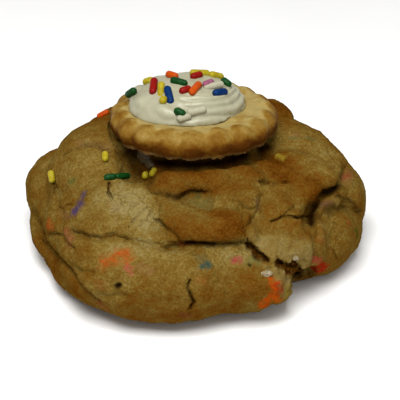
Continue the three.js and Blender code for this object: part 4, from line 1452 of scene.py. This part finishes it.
def stain_points(points, wander):
    """The colour of the stains at every point, with how strong they are as its fourth value."""
    result = np.zeros((len(points), 4))
    entries = [(seen_path(dough_tree, path), *rest) for _, path, *rest in STAINS]
    for _, place, *rest in HIDDEN_STAINS:
        spot = dough_tree.find_nearest((Vector(place) - OUTLINE_MIDDLE) * MM)[0]
        entries.append(([spot, spot + Vector((1.5, 0, 1)) * MM], *rest))
    for line, reach, colour, strength in entries:
        away, _ = distance_to_path(points, line)
        share = away / (reach * MM) + wander
        here = strength * (1 - smoothstep(share, 0.25, 1.45))
        keep = 1 - here[:, None]
        result[:, :3] = result[:, :3] * keep + np.array(shown(*colour)) * here[:, None]
        result[:, 3] = 1 - (1 - result[:, 3]) * (1 - here)
    stained = result[:, 3] > 1e-4
    result[stained, :3] /= result[stained, 3:4]
    return result


wander = noise_at(points, 1.5 * MM, 4, 34.0) * 0.7
stains = stain_points(points, wander)
keep_colour_on_points(dough, "stain", stains)
print("stained points", int((stains[:, 3] > 0.2).sum()))

# %% The dough's material
dough_finish = Finish("baked_dough", rough=0.8)
brown = dough_finish.attribute("browning")
speckle = dough_finish.noise(0.7, 4.0, 0.7)
patchy = dough_finish.noise(3.2, 4.0, 0.6)
brown = dough_finish.math("ADD", brown, dough_finish.spread(patchy, 0.3, 0.7, -0.14, 0.14))
brown = dough_finish.math("ADD", brown, dough_finish.spread(speckle, 0.3, 0.7, -0.24, 0.24))
colour = dough_finish.ramp(brown, [
    (0.00, shown(156, 137, 84)),
    (0.25, shown(140, 115, 54)),
    (0.50, shown(121, 91, 33)),
    (0.75, shown(115, 73, 18)),
    (1.00, shown(96, 53, 8)),
])
torn_colour = dough_finish.ramp(dough_finish.noise(1.4, 4.0, 0.6), [
    (0.30, shown(112, 84, 34)),
    (0.50, shown(138, 114, 62)),
    (0.70, shown(160, 140, 92)),
])
torn_share = dough_finish.math("MULTIPLY", dough_finish.attribute("torn"), 0.55)
colour = dough_finish.mix(torn_share, colour, torn_colour)
split_colour = dough_finish.ramp(dough_finish.noise(1.1, 4.0, 0.6), [
    (0.35, shown(66, 33, 3)),
    (0.55, shown(100, 62, 12)),
    (0.72, shown(132, 94, 38)),
])
colour = dough_finish.mix(dough_finish.attribute("split"), colour, split_colour)
stain_share = dough_finish.math("MULTIPLY", dough_finish.attribute("stain", "Alpha"),
                                dough_finish.spread(dough_finish.noise(1.1, 4.0, 0.6),
                                                    0.36, 0.56, 0.35, 1.0))
colour = dough_finish.mix(stain_share, colour, dough_finish.attribute("stain", "Color"))
lines = dough_finish.math("MULTIPLY", dough_finish.crackle(4.2, 0.22),
                          dough_finish.attribute("crackle"))
colour = dough_finish.mix(dough_finish.math("MULTIPLY", lines, 0.35), colour, shown(90, 62, 18))
# Painted shade: the creases and cracks are mixed towards dark brown, the deep places towards near
# black.
crevice_shade = dough_finish.math("MULTIPLY", dough_finish.attribute("crevice_shade"), 0.8)
colour = dough_finish.mix(crevice_shade, colour, shown(62, 34, 6))
colour = dough_finish.mix(dough_finish.attribute("shade"), colour, shown(22, 6, 2))
freckles = dough_finish.spread(dough_finish.noise(0.6, 3.0, 0.6), 0.58, 0.70, 0.0, 0.45)
colour = dough_finish.mix(freckles, colour, shown(72, 42, 8))
normal = dough_finish.bump(dough_finish.math("MULTIPLY", lines, -1.0), 0.6, 0.3)
normal = dough_finish.bump(dough_finish.noise(1.8, 4.0, 0.6), 0.9, 1.0, normal)
normal = dough_finish.bump(dough_finish.noise(0.6, 3.0, 0.6), 0.7, 0.35, normal)
dough_finish.surface.inputs["Specular IOR Level"].default_value = 0.0
dough_finish.let_light_in(0.05, (0.0015, 0.0009, 0.0004))
dough_finish.put_on(dough, colour, normal)

# %% [markdown]
# ### The biscuit, the icing and the sprinkles
#
# The biscuit is paler than the dough and yellower: cream on its plate, gold on its rim and brown
# where a lobe bulges out most. The icing is an off-white with a slight gloss, and light runs a little
# way through it. Sugar sprinkles have a thin shine over a plain colour that is a bit uneven. The
# white chips are creamy, with painted shade on those that lie in the hollow beside the biscuit.

# %% The biscuit's material
keep_on_points(biscuit, "rim", rim)
keep_on_points(biscuit, "groove", groove * rim)
keep_on_points(biscuit, "face", rim * biscuit_face)
keep_on_points(biscuit, "edge", edge)
biscuit_finish = Finish("shortbread", rough=0.58)
patchy = biscuit_finish.noise(5.0, 4.0, 0.6)
speckle = biscuit_finish.noise(0.9, 3.0, 0.6)
brown = biscuit_finish.math("MULTIPLY", biscuit_finish.attribute("rim"), 0.47)
face = biscuit_finish.math("MULTIPLY", biscuit_finish.attribute("face"), 0.58)
brown = biscuit_finish.math("ADD", brown, face)
brown = biscuit_finish.math("ADD", brown, biscuit_finish.spread(patchy, 0.32, 0.68, -0.28, 0.28))
brown = biscuit_finish.math("ADD", brown, biscuit_finish.spread(speckle, 0.3, 0.7, -0.06, 0.06))
groove = biscuit_finish.math("MULTIPLY", biscuit_finish.attribute("groove"), -0.12)
brown = biscuit_finish.math("ADD", brown, groove)
colour = biscuit_finish.ramp(brown, [
    (0.00, shown(181, 158, 96)),
    (0.30, shown(160, 129, 62)),
    (0.55, shown(138, 100, 34)),
    (0.80, shown(116, 74, 14)),
    (1.00, shown(92, 50, 6)),
])
edge = biscuit_finish.math("MULTIPLY", biscuit_finish.attribute("edge"), 0.7)
colour = biscuit_finish.mix(edge, colour, shown(160, 126, 74))
normal = biscuit_finish.bump(biscuit_finish.noise(1.2, 4.0, 0.6), 0.35, 0.3)
biscuit_finish.surface.inputs["Specular IOR Level"].default_value = 0.03
biscuit_finish.put_on(biscuit, colour, normal)

# %% The icing's material
icing_finish = Finish("icing", rough=0.42)
cloudy = icing_finish.noise(6.0, 3.0, 0.5)
colour = icing_finish.ramp(cloudy, [
    (0.35, shown(182, 178, 146)),
    (0.65, shown(192, 188, 158)),
])
icing_finish.let_light_in(0.25, (0.002, 0.0018, 0.0012))
normal = icing_finish.bump(icing_finish.noise(2.2, 3.0, 0.5), 0.2, 0.3)
icing_finish.put_on(icing, colour, normal)

# %% The sprinkles' materials
SUGAR = {
    # the darker and the lighter colour of each kind
    "red": ((136, 10, 4), (156, 22, 10)),
    "yellow": ((172, 150, 22), (192, 176, 44)),
    "blue": ((0, 38, 90), (0, 52, 108)),
    "orange": ((196, 72, 2), (212, 88, 8)),
    "green": ((8, 60, 18), (24, 78, 28)),
    "pink": ((148, 80, 104), (164, 98, 124)),
    "white": ((184, 180, 152), (196, 192, 166)),
}
for colour, thing in sprinkles.items():
    finish = Finish(f"sugar_{colour}", rough=0.42)
    finish.surface.inputs["Specular IOR Level"].default_value = 0.09
    darker, lighter = SUGAR[colour]
    shade = finish.ramp(finish.noise(1.3, 3.0, 0.6), [(0.35, shown(*darker)), (0.65, shown(*lighter))])
    normal = finish.bump(finish.noise(0.8, 2.0, 0.5), 0.15, 0.12)
    finish.put_on(thing, shade, normal)

# %% The white chips' material
HOLLOW_HEIGHT = 28 * MM                      # the chips above this lie in the hollow
HOLLOW_SHADE = 0.75                            # how much darker they are there
chip_finish = Finish("white_chip", rough=0.5)
keep_on_points(chips, "hollow_shade", (points_of(chips)[:, 2] > HOLLOW_HEIGHT) * HOLLOW_SHADE)
shade = chip_finish.ramp(chip_finish.noise(1.2, 4.0, 0.6), [
    (0.35, shown(132, 112, 72)), (0.65, shown(172, 156, 118))])
# Painted shade: the chips in the hollow are mixed towards a dark brown.
shade = chip_finish.mix(chip_finish.attribute("hollow_shade"), shade, shown(66, 48, 20))
normal = chip_finish.bump(chip_finish.noise(0.8, 3.0, 0.6), 0.4, 0.2)
chip_finish.put_on(chips, shade, normal)

# %% [markdown]
# ## The floor and the light
#
# The cookie stands on a plain pale floor in soft studio light: a wide lamp high above and a little
# in front, a weak one from the front right, and an even light from all round, as a light tent gives.

# %% Floor and light
bpy.ops.mesh.primitive_plane_add(size=3, location=(0, 0, -0.02 * MM))
floor = bpy.context.object
floor.name = "floor"
floor_finish = Finish("floor", rough=0.7)
shade = floor_finish.ramp(floor_finish.noise(60.0, 2.0, 0.5), [
    (0.3, (0.85, 0.85, 0.84)), (0.7, (0.88, 0.88, 0.87))])
floor_finish.put_on(floor, shade)


def soft_lamp(name, place, size, watts):
    """A square lamp that faces the cookie."""
    place = Vector(place)
    facing = (Vector((0, 0, 0.02)) - place).to_track_quat("-Z", "Y").to_euler()
    bpy.ops.object.light_add(type="AREA", location=place, rotation=facing)
    lamp = bpy.context.object
    lamp.name = name
    lamp.data.size = size
    lamp.data.energy = watts


soft_lamp("window", (-0.05, -0.24, 0.55), 0.36, 5.0)
soft_lamp("front fill", (0.35, -0.50, 0.30), 0.40, 0.5)
world = bpy.data.worlds.new("tent")
world.use_nodes = True
world.node_tree.nodes["Background"].inputs["Color"].default_value = (1.0, 0.99, 0.97, 1)
world.node_tree.nodes["Background"].inputs["Strength"].default_value = 0.40
bpy.context.scene.world = world

# %% [markdown]
# ## Putting the pieces on the body
#
# Each finished piece rides on the cookie's one body. The three that take the place of a measured
# solid hide it, and the loose sprinkles and the white chips ride along.

# %% Riding, replacing and finishing
for thing, node in ((dough, "dough"), (biscuit, "biscuit"), (icing, "icing")):
    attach(thing, "root")
    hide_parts(node)
for thing in (*sprinkles.values(), chips):
    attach(thing, "root")

print("triangles:", {thing.name: sum(len(face.vertices) - 2 for face in thing.data.polygons)
                     for thing in (dough, biscuit, icing, *sprinkles.values())})
